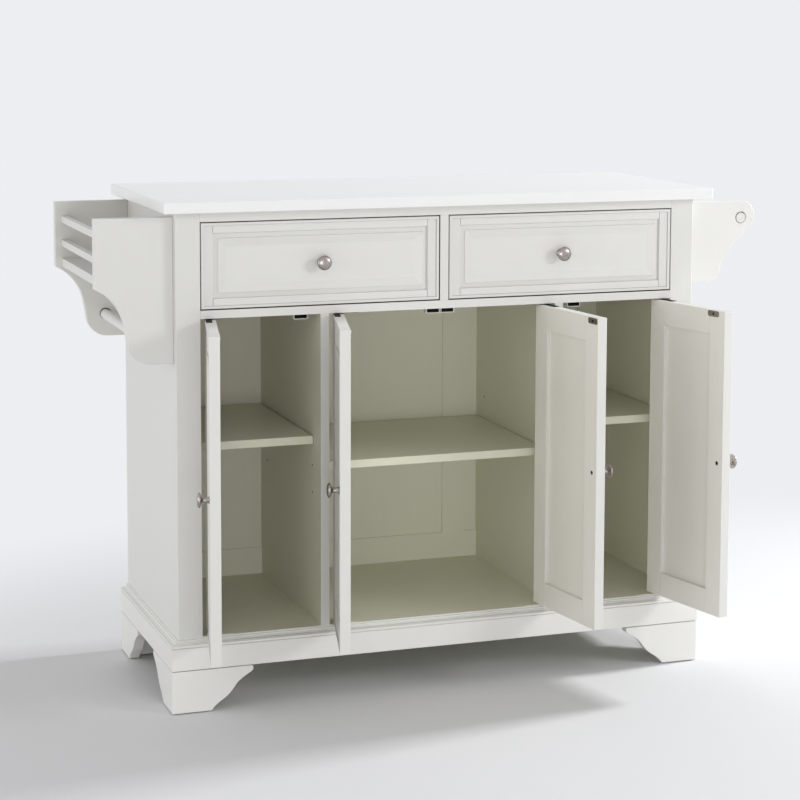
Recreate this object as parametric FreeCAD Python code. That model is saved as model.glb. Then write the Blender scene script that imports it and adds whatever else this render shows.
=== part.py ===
import FreeCAD, Part
import math
import os

# Kitchen island with two drawers, four doors, a spice rack and a towel rail.
# Millimetres. X runs to the right, Y from front to back, Z up from the floor.
# The drawers are shut and the doors stand open, as at rest.
# The origin is on the floor, under the middle of the whole island as it stands at rest.

os.makedirs("parts", exist_ok=True)

# ---- Case and worktop ----
HEIGHT = 914.0
CASE_WIDTH = 1002.0
CASE_DEPTH = 414.0
TOP_THICK = 20.0
TOP_SIDE_OVERHANG = 26.0
TOP_FRONT_OVERHANG = 31.0
TOP_EDGE_RADIUS = 2.0
POST_WIDTH = 45.0
POST_DEPTH = 40.0
SIDE_THICK = 18.0
PARTITION_THICK = 16.0
DIVIDER_THICK = 16.0
FLOOR_THICK = 16.0
FLOOR_ABOVE_MOULDING = 3.0
RAIL_DEPTH = 60.0
TOP_RAIL_HEIGHT = 18.0
DRAWER_RAIL_THICK = 15.0
REVEAL = 2.0
BACK_THICK = 18.0
BACK_INSET = 2.0
BACK_PANEL_THICK = 6.0
BACK_PANEL_RECESS = 4.0
BACK_END_STILE = 40.0
BACK_STILE = 46.0
BACK_STILE_FROM_MIDDLE = 145.0
BACK_TOP_RAIL = 60.0
BACK_RAIL_ABOVE_FLOOR = 53.0

# ---- Base ----
GLIDE_THICK = 2.0
GLIDE_RADIUS = 11.0
GLIDE_INSET = 24.0
FOOT_HEIGHT = 77.0
FOOT_THICK = 20.0
FOOT_FLAT = 72.0
FOOT_WAIST = 117.0
FOOT_WAIST_RISE = 45.0
FOOT_REACH = 146.0
FOOT_TIP_RISE = 65.0
FOOT_TIP_BULGE = 3.0
FOOT_HOLLOW_OUT = 3.0
FOOT_HOLLOW_DOWN = 1.0
FOOT_BLOCK = 34.0
BASE_BOARD_HEIGHT = 40.0
BASE_OUT = 15.0
MOULDING_HEIGHT = 12.0
MOULDING_LEDGE = 2.5
MOULDING_NOSE = 2.5
MOULDING_STEP = 1.5
BACK_BOARD_THICK = 15.0
BACK_BOARD_CLEAR = 10.0

# ---- Drawers ----
DRAWER_FRONT_HEIGHT = 152.0
DRAWER_FRONT_THICK = 19.0
DRAWER_STILE = 23.5
DRAWER_BAR = 18.5
DRAWER_BACK_GAP = 34.0
DRAWER_BOX_HEIGHT = 118.0
DRAWER_SIDE_THICK = 12.0
DRAWER_SIDE_INSET = 6.0
DRAWER_BOX_LIFT = 8.0
DRAWER_BOTTOM_THICK = 5.0
DRAWER_BOTTOM_RISE = 8.0
GROOVE_DEPTH = 5.0
RUNNER_GAP = 0.3
RUNNER_LAP = 10.0

# ---- Raised panels ----
PANEL_TONGUE = 8.0
PANEL_TONGUE_THICK = 6.0
PANEL_CREST = 3.0
PANEL_GROOVE = 7.0
PANEL_FIELD = 6.0
PANEL_RISE_WIDTH = 11.0
PANEL_DISH_WIDTH = 13.0

# ---- Doors ----
DOOR_THICK = 19.0
DOOR_STILE = 42.0
DOOR_BAR = 45.0
DOOR_PIVOT_IN = 16.0
DOOR_PIVOT_BACK = 6.5
DOOR_OPEN = {"left": 102.5, "centre_left": 104.4, "centre_right": 97.6, "right": 102.0}
DOOR_KNOB_IN = 16.0
DOOR_KNOB_HEIGHT = 422.0
LEAF_THICK = 2.6
LEAF_LENGTH = 40.0
LEAF_WIDTH = 11.0
LEAF_PROUD = 0.8
PIN_RADIUS = 2.5
PIN_LENGTH = 8.0
PIN_FIT = 0.05
PIN_HOLE_SPARE = 1.0
CATCH_WIDTH = 26.0
CATCH_HEIGHT = 11.0
CATCH_DEPTH = 14.0
CATCH_EAR = 8.0
CATCH_EAR_THICK = 1.5
CATCH_INSET = 16.0
CATCH_GAP = 0.4
MAGNET_FRAME = 1.5
MAGNET_DEPTH = 10.0
STRIKE_THICK = 1.2
STRIKE_DROP = 1.0

# ---- Knobs ----
KNOB_RADIUS = 13.5
KNOB_PROJECTION = 24.0
KNOB_CAP = 8.0
KNOB_STEM_RADIUS = 4.5
KNOB_FOOT_RADIUS = 8.0
KNOB_FOOT_THICK = 3.0
SCREW_RADIUS = 2.0
SCREW_HEAD_RADIUS = 4.0
SCREW_HEAD_THICK = 2.5

# ---- Shelves ----
SHELF_THICK = 15.0
SHELF_SETBACK = 43.0
SIDE_SHELF_TOP = 476.0
SHELF_PITCH = 50.0
SHELF_END_GAP = 1.5
SHELF_BACK_GAP = 0.5
PEG_RADIUS = 2.5
PEG_LENGTH = 8.0
PEG_ABOVE_LEDGE = 9.0
PEG_FROM_SHELF_EDGE = 10.0
SUPPORT_WIDTH = 12.0
SUPPORT_PLATE = 1.2
SUPPORT_LEDGE = 10.0
SUPPORT_HEIGHT = 13.0
ROWS_BELOW = 2

# ---- Spice rack and towel rail ----
END_PANEL_THICK = 16.0
END_PANEL_INSET = 16.0
END_PANEL_TOP_GAP = 9.0
RACK_OUT = 139.2
RACK_SHOULDER_DROP = 123.0
RACK_WAIST_OUT = 86.0
RACK_WAIST_DROP = 191.0
RACK_NECK_OUT = 81.0
RACK_NECK_DROP = 221.0
RACK_TOE_OUT = 41.0
RACK_DROP = 259.0
TRAY_OUT = 127.0
TRAY_THICK = 16.0
TRAY_TOP_DROP = 107.0
RACK_RAIL = 13.0
RACK_RAIL_DEPTH = 12.0
RACK_RAIL_DROPS = (27.0, 72.0)
BAR_RADIUS = 10.0
BAR_HOLE_GAP = 0.8
BAR_SEAT = 8.0
RACK_BAR_OUT = 45.0
RACK_BAR_DROP = 217.0
TOWEL_OUT = 139.2
TOWEL_END_RADIUS = 30.0
TOWEL_BAR_OUT = 111.0
TOWEL_BAR_DROP = 33.5
TOWEL_NECK_OUT = 89.0
TOWEL_NECK_DROP = 89.0
TOWEL_WAIST_OUT = 67.0
TOWEL_WAIST_DROP = 127.0
TOWEL_TOE_OUT = 54.0
TOWEL_DROP = 152.0
BAR_END_INSET = 1.0

# ---- How far a cut runs past the face it starts from ----
OVERCUT = 1.0

# ---- Levels and planes worked out from the sizes above ----
case_half = CASE_WIDTH / 2
post_inner = case_half - POST_WIDTH
side_inner = case_half - SIDE_THICK
door_width = (2 * post_inner - 2 * PARTITION_THICK - 7 * REVEAL) / 4


def door_reach(degrees):
    """How far a door that stands open comes forward of the case, strike plate included."""
    turn = math.radians(degrees)
    along = REVEAL + door_width - DOOR_PIVOT_IN
    behind = DOOR_THICK + STRIKE_THICK - DOOR_PIVOT_BACK
    return along * math.sin(turn) + behind * abs(math.cos(turn)) - DOOR_PIVOT_BACK


back = (CASE_DEPTH + max(door_reach(degrees) for degrees in DOOR_OPEN.values())) / 2
front = back - CASE_DEPTH
z_foot = GLIDE_THICK
z_board = z_foot + FOOT_HEIGHT
z_moulding = z_board + BASE_BOARD_HEIGHT
z_cap = z_moulding + MOULDING_HEIGHT
z_floor = z_cap + FLOOR_ABOVE_MOULDING
z_under_top = HEIGHT - TOP_THICK
z_drawer_top = z_under_top - TOP_RAIL_HEIGHT
z_drawer_rail = z_drawer_top - DRAWER_FRONT_HEIGHT - 2 * REVEAL
z_door_top = z_drawer_rail - DRAWER_RAIL_THICK
z_end_top = z_under_top - END_PANEL_TOP_GAP
y_back_frame = back - BACK_INSET - BACK_THICK
y_back_panel = y_back_frame + BACK_PANEL_RECESS
partition_inner = 1.5 * REVEAL + door_width
partition_outer = partition_inner + PARTITION_THICK
foot_outer = case_half + BASE_OUT
shelf_front = front + SHELF_SETBACK
shelf_back = y_back_frame - SHELF_BACK_GAP


def vec(x, y, z):
    return FreeCAD.Vector(x, y, z)


def box(x0, y0, z0, x1, y1, z1):
    """A block between two opposite corners, given in any order."""
    low = [min(x0, x1), min(y0, y1), min(z0, z1)]
    size = [abs(x1 - x0), abs(y1 - y0), abs(z1 - z0)]
    return Part.makeBox(size[0], size[1], size[2], vec(low[0], low[1], low[2]))


def rod(x, y0, y1, z, radius):
    """A round bar that runs from front to back."""
    return Part.makeCylinder(radius, y1 - y0, vec(x, y0, z), vec(0, 1, 0))


def prism(points, height, direction):
    """A flat polygon pushed along a direction."""
    wire = Part.makePolygon([vec(*p) for p in points + points[:1]])
    return Part.Face(wire).extrude(vec(*direction) * height)


def mirrored(shape):
    """The same piece on the other side of the case."""
    return shape.mirror(vec(0, 0, 0), vec(1, 0, 0))


def save(name, solids):
    """Write one node, made of one solid or of several that don't touch as one."""
    pieces = solids if isinstance(solids, list) else [solids]
    found = []
    for piece in pieces:
        found += piece.removeSplitter().Solids
    shape = found[0] if len(found) == 1 else Part.makeCompound(found)
    if not shape.isValid():
        raise ValueError(name + " is not a valid solid")
    shape.exportStep("parts/" + name + ".step")
    print("%-28s %3d solids %10.1f cm3" % (name, len(found), shape.Volume / 1000))


# ---- Worktop and case ----
def worktop():
    """One plain slab with small rounded arrises."""
    half = case_half + TOP_SIDE_OVERHANG
    slab = box(-half, front - TOP_FRONT_OVERHANG, z_under_top, half, back, HEIGHT)
    return slab.makeFillet(TOP_EDGE_RADIUS, slab.Edges)


def side_panel():
    return box(-case_half, front + POST_DEPTH, z_board, -side_inner, back, z_under_top)


def front_post():
    return box(-case_half, front, z_board, -post_inner, front + POST_DEPTH, z_under_top)


def top_front_rail():
    return box(-post_inner, front, z_drawer_top, post_inner, front + RAIL_DEPTH, z_under_top)


def drawer_rail():
    """The rail under the drawers, with sinkings for the upper hinge leaves."""
    rail = box(-post_inner, front, z_door_top, post_inner, front + RAIL_DEPTH, z_drawer_rail)
    return rail.cut(Part.makeCompound([fixed_leaf(k, "top") for k in DOOR_OPEN]))


def drawer_divider():
    """The upright board between the two drawers."""
    half = DIVIDER_THICK / 2
    board = box(-half, front, z_drawer_rail, half, y_back_panel, z_drawer_top)
    return board.cut(Part.makeCompound(back_frame()))


def drawer_runners():
    """Four ledges, one under each side board of the two drawers."""
    top = z_drawer_rail + REVEAL + DRAWER_BOX_LIFT - RUNNER_GAP
    outer = drawer_half_out - DRAWER_SIDE_INSET - DRAWER_SIDE_THICK - RUNNER_LAP
    inner = drawer_half_in + DRAWER_SIDE_INSET + DRAWER_SIDE_THICK + RUNNER_LAP
    ledges = [box(-side_inner, front + POST_DEPTH, z_drawer_rail, -outer, y_back_frame, top)]
    ledges += [box(-DIVIDER_THICK / 2, front + POST_DEPTH, z_drawer_rail, -inner, y_back_frame, top)]
    return ledges + [mirrored(ledge) for ledge in ledges]


def cabinet_floor():
    """The floor of the cupboards, notched round the posts and sunk for the lower leaves."""
    bottom = z_floor - FLOOR_THICK
    board = box(-side_inner, front, bottom, side_inner, y_back_frame, z_floor)
    posts = [front_post(), mirrored(front_post())]
    leaves = [fixed_leaf(k, "bottom") for k in DOOR_OPEN]
    return board.cut(Part.makeCompound(posts)).cut(Part.makeCompound(leaves))


def partition():
    """A left upright board between the cupboards, with rows of peg holes."""
    board = box(-partition_outer, front, z_floor, -partition_inner, y_back_panel, z_door_top)
    board = board.cut(Part.makeCompound(back_frame()))
    return board.cut(Part.makeCompound(peg_holes()))


def back_stick_spans():
    """Left and right edge of each upright of the back frame."""
    end = side_inner - BACK_END_STILE
    middle = BACK_STILE_FROM_MIDDLE + BACK_STILE
    return [(-side_inner, -end), (-middle, -BACK_STILE_FROM_MIDDLE),
            (BACK_STILE_FROM_MIDDLE, middle), (end, side_inner)]


def back_frame():
    """Two rails and four uprights, grooved for three thin panels."""
    y1 = y_back_frame + BACK_THICK
    low = z_floor + BACK_RAIL_ABOVE_FLOOR
    high = z_under_top - BACK_TOP_RAIL
    sticks = [box(-side_inner, y_back_frame, z_board, side_inner, y1, low)]
    sticks += [box(-side_inner, y_back_frame, high, side_inner, y1, z_under_top)]
    sticks += [box(x0, y_back_frame, low, x1, y1, high) for x0, x1 in back_stick_spans()]
    panels = Part.makeCompound(back_panels())
    return [stick.cut(panels) for stick in sticks]


def back_panels():
    """Three thin panels, held in the grooves of the back frame."""
    low = z_floor + BACK_RAIL_ABOVE_FLOOR - GROOVE_DEPTH
    high = z_under_top - BACK_TOP_RAIL + GROOVE_DEPTH
    spans = back_stick_spans()
    panels = []
    for left, right in zip(spans[:-1], spans[1:]):
        panels.append(box(left[1] - GROOVE_DEPTH, y_back_panel, low,
                          right[0] + GROOVE_DEPTH, y_back_panel + BACK_PANEL_THICK, high))
    return panels


# ---- Base ----
def skirt_plan(side, z0, z1):
    """The mitred strip that a base board or moulding fills, seen from above."""
    out = foot_outer
    if side == "front":
        corners = [(-out, front - BASE_OUT), (out, front - BASE_OUT),
                   (case_half, front), (-case_half, front)]
    else:
        corners = [(-out, front - BASE_OUT), (-case_half, front), (-case_half, back), (-out, back)]
    return prism([(x, y, z0) for x, y in corners], z1 - z0, (0, 0, 1))


def moulding_section(place):
    """Cap moulding: a narrow ledge, a hollow, a small step and a round nose."""
    top = z_cap
    nose = z_moulding + MOULDING_NOSE
    step = BASE_OUT - MOULDING_STEP
    hollow_z = nose + MOULDING_STEP
    ledge_z = top - MOULDING_STEP
    mid = (0.62 * MOULDING_LEDGE + 0.38 * step, 0.3 * ledge_z + 0.7 * hollow_z)
    corner = BASE_OUT - (1 - math.sqrt(0.5)) * MOULDING_NOSE * 0.6
    points = [place(0, z_moulding), place(BASE_OUT, z_moulding), place(BASE_OUT, nose - MOULDING_STEP / 2),
              place(corner, nose), place(step, nose), place(step, hollow_z)]
    lines = [Part.makeLine(a, b) for a, b in zip(points[:-1], points[1:])]
    hollow = Part.Arc(place(step, hollow_z), place(*mid), place(MOULDING_LEDGE, ledge_z)).toShape()
    rest = [place(MOULDING_LEDGE, ledge_z), place(MOULDING_LEDGE, top), place(0, top), place(0, z_moulding)]
    lines += [hollow] + [Part.makeLine(a, b) for a, b in zip(rest[:-1], rest[1:])]
    return Part.Face(Part.Wire(lines))


def base_moulding():
    """Three mitred lengths of cap moulding, round the front and both sides."""
    def at_front(out, z):
        return vec(-foot_outer, front - out, z)

    def at_side(out, z):
        return vec(-case_half - out, front - BASE_OUT, z)

    across = moulding_section(at_front).extrude(vec(2 * foot_outer, 0, 0))
    along = moulding_section(at_side).extrude(vec(0, CASE_DEPTH + BASE_OUT, 0))
    across = across.common(skirt_plan("front", z_moulding, z_cap))
    along = along.common(skirt_plan("side", z_moulding, z_cap))
    return [across, along, mirrored(along)]


def foot_profile(place):
    """Face of a bracket foot: flat toe, a rising curve, a reversed curve and a round tip."""
    top = z_board
    low = z_foot
    toe = place(FOOT_FLAT, low)
    waist = place(FOOT_WAIST, low + FOOT_WAIST_RISE)
    tip = place(FOOT_REACH, low + FOOT_TIP_RISE)
    end = place(FOOT_REACH, top)
    rise_mid = place((FOOT_FLAT + FOOT_WAIST) / 2 + FOOT_HOLLOW_OUT,
                     low + FOOT_WAIST_RISE / 2 - FOOT_HOLLOW_DOWN)
    turn_mid = place(FOOT_WAIST + 0.4 * (FOOT_REACH - FOOT_WAIST),
                     low + FOOT_WAIST_RISE + 0.62 * (FOOT_TIP_RISE - FOOT_WAIST_RISE))
    tip_mid = place(FOOT_REACH + FOOT_TIP_BULGE, (low + FOOT_TIP_RISE + top) / 2)
    edges = [Part.makeLine(place(0, top), place(0, low)), Part.makeLine(place(0, low), toe),
             Part.Arc(toe, rise_mid, waist).toShape(), Part.Arc(waist, turn_mid, tip).toShape(),
             Part.Arc(tip, tip_mid, end).toShape(), Part.makeLine(end, place(0, top))]
    return Part.Face(Part.Wire(edges))


def bracket_foot(face_y, inward):
    """A left foot: a front or back bracket, a side bracket and a corner block, mitred."""
    def on_face(out, z):
        return vec(-foot_outer + out, face_y, z)

    def on_side(out, z):
        return vec(-foot_outer, face_y + inward * out, z)

    facing = foot_profile(on_face).extrude(vec(0, inward * FOOT_THICK, 0))
    flank = foot_profile(on_side).extrude(vec(FOOT_THICK, 0, 0))
    reach = FOOT_REACH + 2 * FOOT_TIP_BULGE
    corners = [(0, 0), (reach, 0), (reach, FOOT_THICK), (FOOT_THICK, FOOT_THICK)]
    keep = prism([(-foot_outer + u, face_y + inward * v, z_foot) for u, v in corners],
                 FOOT_HEIGHT, (0, 0, 1))
    facing = facing.common(keep)
    flank = flank.cut(keep)
    x0 = -foot_outer + FOOT_THICK
    y0 = face_y + inward * FOOT_THICK
    block = box(x0, y0, z_foot, x0 + FOOT_BLOCK, y0 + inward * FOOT_BLOCK, z_board)
    return [facing, flank, block]


def foot_glides():
    """Four felt-grey discs that the feet stand on."""
    x = foot_outer - GLIDE_INSET
    ys = (front - BASE_OUT + GLIDE_INSET, back - GLIDE_INSET)
    return [Part.makeCylinder(GLIDE_RADIUS, GLIDE_THICK, vec(s * x, y, 0)) for s in (-1, 1) for y in ys]


def base_board_back():
    """A deep board behind the feet that shades the space under the case."""
    half = foot_outer - FOOT_THICK - FOOT_BLOCK
    return box(-half, y_back_frame - BACK_BOARD_THICK, BACK_BOARD_CLEAR,
               half, y_back_frame, z_floor - FLOOR_THICK)


# ---- Raised panel used on drawers and doors ----
def slab_between(rect_a, y_a, rect_b, y_b):
    """A block whose front and back faces are upright rectangles (x0, z0, x1, z1)."""
    wires = []
    for (x0, z0, x1, z1), y in ((rect_a, y_a), (rect_b, y_b)):
        corners = [vec(x0, y, z0), vec(x1, y, z0), vec(x1, y, z1), vec(x0, y, z1), vec(x0, y, z0)]
        wires.append(Part.makePolygon(corners))
    return Part.makeLoft(wires, True, True)


def inset(rect, d):
    return (rect[0] + d, rect[1] + d, rect[2] - d, rect[3] - d)


def raised_panel(rect, face, inner_recess, thick):
    """Panel in a frame opening: tongue, rising slope, crest, dished slope and flat field."""
    tongue = inset(rect, -PANEL_TONGUE)
    crest = inset(rect, PANEL_RISE_WIDTH)
    field = inset(crest, PANEL_DISH_WIDTH)
    y_groove = face + PANEL_GROOVE
    y_inner = face + thick - inner_recess
    body = box(tongue[0], y_groove, tongue[1], tongue[2], y_groove + PANEL_TONGUE_THICK, tongue[3])
    if y_inner > y_groove + PANEL_TONGUE_THICK:
        body = body.fuse(box(rect[0], y_groove, rect[1], rect[2], y_inner, rect[3]))
    body = body.fuse(slab_between(rect, y_groove, crest, face + PANEL_CREST))
    return body.cut(slab_between(crest, face + PANEL_CREST, field, face + PANEL_FIELD))


def framed(x0, z0, x1, z1, face, stile, bar, thick):
    """A frame of two stiles and two rails, as one joined piece, and its opening."""
    opening = (x0 + stile, z0 + bar, x1 - stile, z1 - bar)
    ring = box(x0, face, z0, x1, face + thick, z1)
    ring = ring.cut(box(opening[0], face - OVERCUT, opening[1],
                        opening[2], face + thick + OVERCUT, opening[3]))
    tongue = inset(opening, -PANEL_TONGUE)
    y = face + PANEL_GROOVE
    groove = box(tongue[0], y, tongue[1], tongue[2], y + PANEL_TONGUE_THICK, tongue[3])
    return ring.cut(groove), opening


# ---- Knobs ----
def knob(x, z, face, thick):
    """A mushroom knob in front of a face, and the screw that holds it from behind."""
    neck = face - KNOB_PROJECTION + KNOB_CAP
    rim = face - KNOB_PROJECTION + KNOB_CAP * 0.55
    crown = face - KNOB_PROJECTION
    waist = face - (KNOB_PROJECTION - KNOB_CAP) / 2
    r_bow = KNOB_RADIUS * 0.72
    y_bow = crown + KNOB_CAP * 0.17
    arcs = [Part.Arc(vec(0, crown, 0), vec(r_bow, y_bow, 0), vec(KNOB_RADIUS, rim, 0)).toShape(),
            Part.makeLine(vec(KNOB_RADIUS, rim, 0), vec(KNOB_STEM_RADIUS * 1.3, neck, 0)),
            Part.Arc(vec(KNOB_STEM_RADIUS * 1.3, neck, 0), vec(KNOB_STEM_RADIUS * 0.85, waist, 0),
                     vec(KNOB_STEM_RADIUS * 1.2, face - KNOB_FOOT_THICK, 0)).toShape()]
    corners = [vec(KNOB_STEM_RADIUS * 1.2, face - KNOB_FOOT_THICK, 0),
               vec(KNOB_FOOT_RADIUS, face - KNOB_FOOT_THICK * 0.6, 0), vec(KNOB_FOOT_RADIUS, face, 0),
               vec(0, face, 0), vec(0, crown, 0)]
    arcs += [Part.makeLine(a, b) for a, b in zip(corners[:-1], corners[1:])]
    body = Part.Face(Part.Wire(arcs)).revolve(vec(0, 0, 0), vec(0, 1, 0), 360)
    body.translate(vec(x, 0, z))
    hole = rod(x, face - KNOB_FOOT_THICK * 2, face + OVERCUT, z, SCREW_RADIUS)
    shank = rod(x, face - KNOB_FOOT_THICK * 2, face + thick, z, SCREW_RADIUS)
    head = rod(x, face + thick - SCREW_HEAD_THICK, face + thick, z, SCREW_HEAD_RADIUS)
    return [body.cut(hole), shank.fuse(head)]


def screw_hole(x, z, face, thick):
    """The hole and the sinking that a knob's screw passes through."""
    hole = rod(x, face - OVERCUT, face + thick + OVERCUT, z, SCREW_RADIUS)
    return hole.fuse(rod(x, face + thick - SCREW_HEAD_THICK, face + thick + OVERCUT, z, SCREW_HEAD_RADIUS))


# ---- Drawers ----
drawer_half_in = DIVIDER_THICK / 2 + REVEAL
drawer_half_out = post_inner - REVEAL
drawer_z0 = z_drawer_rail + REVEAL
drawer_z1 = drawer_z0 + DRAWER_FRONT_HEIGHT


def drawer():
    """The left drawer: front frame, raised panel, boarded box and knob."""
    x0, x1 = -drawer_half_out, -drawer_half_in
    mid_x, mid_z = (x0 + x1) / 2, (drawer_z0 + drawer_z1) / 2
    frame, opening = framed(x0, drawer_z0, x1, drawer_z1, front, DRAWER_STILE, DRAWER_BAR,
                            DRAWER_FRONT_THICK)
    panel = raised_panel(opening, front, 0, DRAWER_FRONT_THICK)
    drill = screw_hole(mid_x, mid_z, front + PANEL_FIELD, DRAWER_FRONT_THICK - PANEL_FIELD)
    y0 = front + DRAWER_FRONT_THICK
    y1 = y_back_frame - DRAWER_BACK_GAP
    left, right = x0 + DRAWER_SIDE_INSET, x1 - DRAWER_SIDE_INSET
    z0 = drawer_z0 + DRAWER_BOX_LIFT
    z1 = z0 + DRAWER_BOX_HEIGHT
    t = DRAWER_SIDE_THICK
    zb = z0 + DRAWER_BOTTOM_RISE
    bottom = box(left + t - GROOVE_DEPTH, y0, zb, right - t + GROOVE_DEPTH,
                 y1 - t + GROOVE_DEPTH, zb + DRAWER_BOTTOM_THICK)
    boards = [box(left, y0, z0, left + t, y1, z1), box(right - t, y0, z0, right, y1, z1),
              box(left + t, y1 - t, z0, right - t, y1, z1)]
    boards = [board.cut(bottom) for board in boards] + [bottom]
    handle = knob(mid_x, mid_z, front + PANEL_FIELD, DRAWER_FRONT_THICK - PANEL_FIELD)
    return {"front_frame": frame, "front_panel": panel.cut(drill), "box": boards, "knob": handle}


# ---- Doors, each built shut and then swung to where it stands ----
def hinge_side(name):
    """X of the upright that carries a door, and +1 or -1 for the way the door runs from it."""
    edge = post_inner if name in ("left", "right") else partition_inner
    return (-edge, 1) if name.endswith("left") else (edge, -1)


def pivot(name):
    edge, run = hinge_side(name)
    return edge + run * DOOR_PIVOT_IN, front + DOOR_PIVOT_BACK


def leaf_plan(name, z0, z1):
    """A hinge leaf: a strip with a round end about the pivot."""
    px, py = pivot(name)
    run = hinge_side(name)[1]
    strip = box(px, py - LEAF_WIDTH / 2, z0, px + run * LEAF_LENGTH, py + LEAF_WIDTH / 2, z1)
    return strip.fuse(Part.makeCylinder(LEAF_WIDTH / 2, z1 - z0, vec(px, py, z0))).removeSplitter()


def fixed_leaf(name, end):
    """The leaf let into the rail or the floor."""
    if end == "top":
        return leaf_plan(name, z_door_top - LEAF_PROUD, z_door_top - LEAF_PROUD + LEAF_THICK)
    return leaf_plan(name, z_floor + LEAF_PROUD - LEAF_THICK, z_floor + LEAF_PROUD)


def hinge_pin(name, end):
    """The pin that stands on a fixed leaf and turns in the door."""
    px, py = pivot(name)
    reach = REVEAL - LEAF_PROUD + PIN_LENGTH
    low = z_door_top - LEAF_PROUD - reach if end == "top" else z_floor + LEAF_PROUD
    return Part.makeCylinder(PIN_RADIUS, reach, vec(px, py, low))


def pin_hole(name, end):
    """The hole in the door and its leaf, a running fit on the pin."""
    px, py = pivot(name)
    deep = PIN_LENGTH + PIN_HOLE_SPARE
    low = z_door_top - REVEAL - deep if end == "top" else z_floor + REVEAL - LEAF_PROUD
    return Part.makeCylinder(PIN_RADIUS + PIN_FIT, deep + LEAF_PROUD, vec(px, py, low))


def door_leaf(name, end):
    """The leaf let into the end of the door's hinge stile."""
    if end == "top":
        z1 = z_door_top - REVEAL + LEAF_PROUD
        return leaf_plan(name, z1 - LEAF_THICK, z1)
    z0 = z_floor + REVEAL - LEAF_PROUD
    return leaf_plan(name, z0, z0 + LEAF_THICK)


def fixed_leaves():
    return [fixed_leaf(k, end).fuse(hinge_pin(k, end)) for k in DOOR_OPEN for end in ("top", "bottom")]


def strike_span(name):
    """X range of a strike plate, and of the magnetic catch in front of which it stands when shut."""
    edge, run = hinge_side(name)
    free = edge + run * (REVEAL + door_width)
    gap = CATCH_INSET if name in ("left", "right") else 0.0
    return free - run * gap, free - run * (gap + CATCH_WIDTH)


def door(name):
    """Frame, raised panel, knob with strike plate, and hinge leaves, swung open."""
    edge, run = hinge_side(name)
    near = edge + run * REVEAL
    free = near + run * door_width
    z0, z1 = z_floor + REVEAL, z_door_top - REVEAL
    frame, opening = framed(min(near, free), z0, max(near, free), z1, front, DOOR_STILE, DOOR_BAR,
                            DOOR_THICK)
    panel = raised_panel(opening, front, DOOR_THICK - PANEL_GROOVE - PANEL_TONGUE_THICK, DOOR_THICK)
    ends = ("top", "bottom")
    leaves = [door_leaf(name, end) for end in ends]
    holes = [pin_hole(name, end) for end in ends]
    knob_x = free - run * DOOR_KNOB_IN
    frame = frame.cut(Part.makeCompound(leaves)).cut(Part.makeCompound(holes))
    frame = frame.cut(screw_hole(knob_x, DOOR_KNOB_HEIGHT, front, DOOR_THICK))
    s0, s1 = strike_span(name)
    strike_top = z1 - STRIKE_DROP
    y = front + DOOR_THICK
    strike = box(s0, y, strike_top - CATCH_HEIGHT, s1, y + STRIKE_THICK, strike_top)
    leaves = [leaf.cut(Part.makeCompound(holes)) for leaf in leaves]
    pieces = {"frame": [frame], "panel": [panel], "hinge_leaves": leaves,
              "knob_and_strike": knob(knob_x, DOOR_KNOB_HEIGHT, front, DOOR_THICK) + [strike]}
    px, py = pivot(name)
    for solids in pieces.values():
        for solid in solids:
            solid.rotate(vec(px, py, 0), vec(0, 0, 1), -run * DOOR_OPEN[name])
    return pieces


def magnetic_catches():
    """Four catches under the drawer rail: a pale eared housing round a black magnet."""
    solids = []
    for name in DOOR_OPEN:
        s0, s1 = sorted(strike_span(name))
        y0 = front + DOOR_THICK + STRIKE_THICK + CATCH_GAP
        low = z_door_top - CATCH_HEIGHT
        middle = name.startswith("centre")
        ear0 = 0 if middle and s0 > 0 else CATCH_EAR
        ear1 = 0 if middle and s1 < 0 else CATCH_EAR
        frame = MAGNET_FRAME
        housing = box(s0, y0, low, s1, y0 + CATCH_DEPTH, z_door_top)
        housing = housing.fuse(box(s0 - ear0, y0, z_door_top - CATCH_EAR_THICK,
                                   s1 + ear1, y0 + CATCH_DEPTH, z_door_top)).removeSplitter()
        magnet = box(s0 + frame, y0, low + frame, s1 - frame, y0 + MAGNET_DEPTH,
                     z_door_top - CATCH_EAR_THICK - frame)
        solids += [housing.cut(magnet), magnet]
    return solids


# ---- Shelves ----
def shelf_bays():
    """Left face, right face and shelf top of each cupboard."""
    middle_top = SIDE_SHELF_TOP - SHELF_PITCH
    return {"left": (-side_inner, -partition_outer, SIDE_SHELF_TOP),
            "centre": (-partition_inner, partition_inner, middle_top),
            "right": (partition_outer, side_inner, SIDE_SHELF_TOP)}


def shelf(bay):
    x0, x1, top = shelf_bays()[bay]
    return box(x0 + SHELF_END_GAP, shelf_front, top - SHELF_THICK, x1 - SHELF_END_GAP, shelf_back, top)


def peg_rows():
    """Y of the front and the back row of peg holes."""
    return (shelf_front + PEG_FROM_SHELF_EDGE, shelf_back - PEG_FROM_SHELF_EDGE * 4)


def peg(face, run, y, z):
    """A round peg that reaches into an upright board behind its face."""
    length = PEG_LENGTH
    start = face if run < 0 else face - length
    return Part.makeCylinder(PEG_RADIUS, length, vec(start, y, z), vec(1, 0, 0))


def shelf_supports():
    """Twelve bent metal supports: a peg, an upright plate and a ledge under the shelf."""
    solids = []
    for x0, x1, top in shelf_bays().values():
        low = top - SHELF_THICK
        for face, run in ((x0, 1), (x1, -1)):
            for y in peg_rows():
                a, b = y - SUPPORT_WIDTH / 2, y + SUPPORT_WIDTH / 2
                plate = box(face, a, low - SUPPORT_PLATE, face + run * SUPPORT_PLATE, b,
                            low - SUPPORT_PLATE + SUPPORT_HEIGHT)
                ledge = box(face, a, low - SUPPORT_PLATE, face + run * SUPPORT_LEDGE, b, low)
                pin = peg(face, run, y, low + PEG_ABOVE_LEDGE)
                solids.append(plate.fuse(ledge).fuse(pin).removeSplitter())
    return solids


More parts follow.
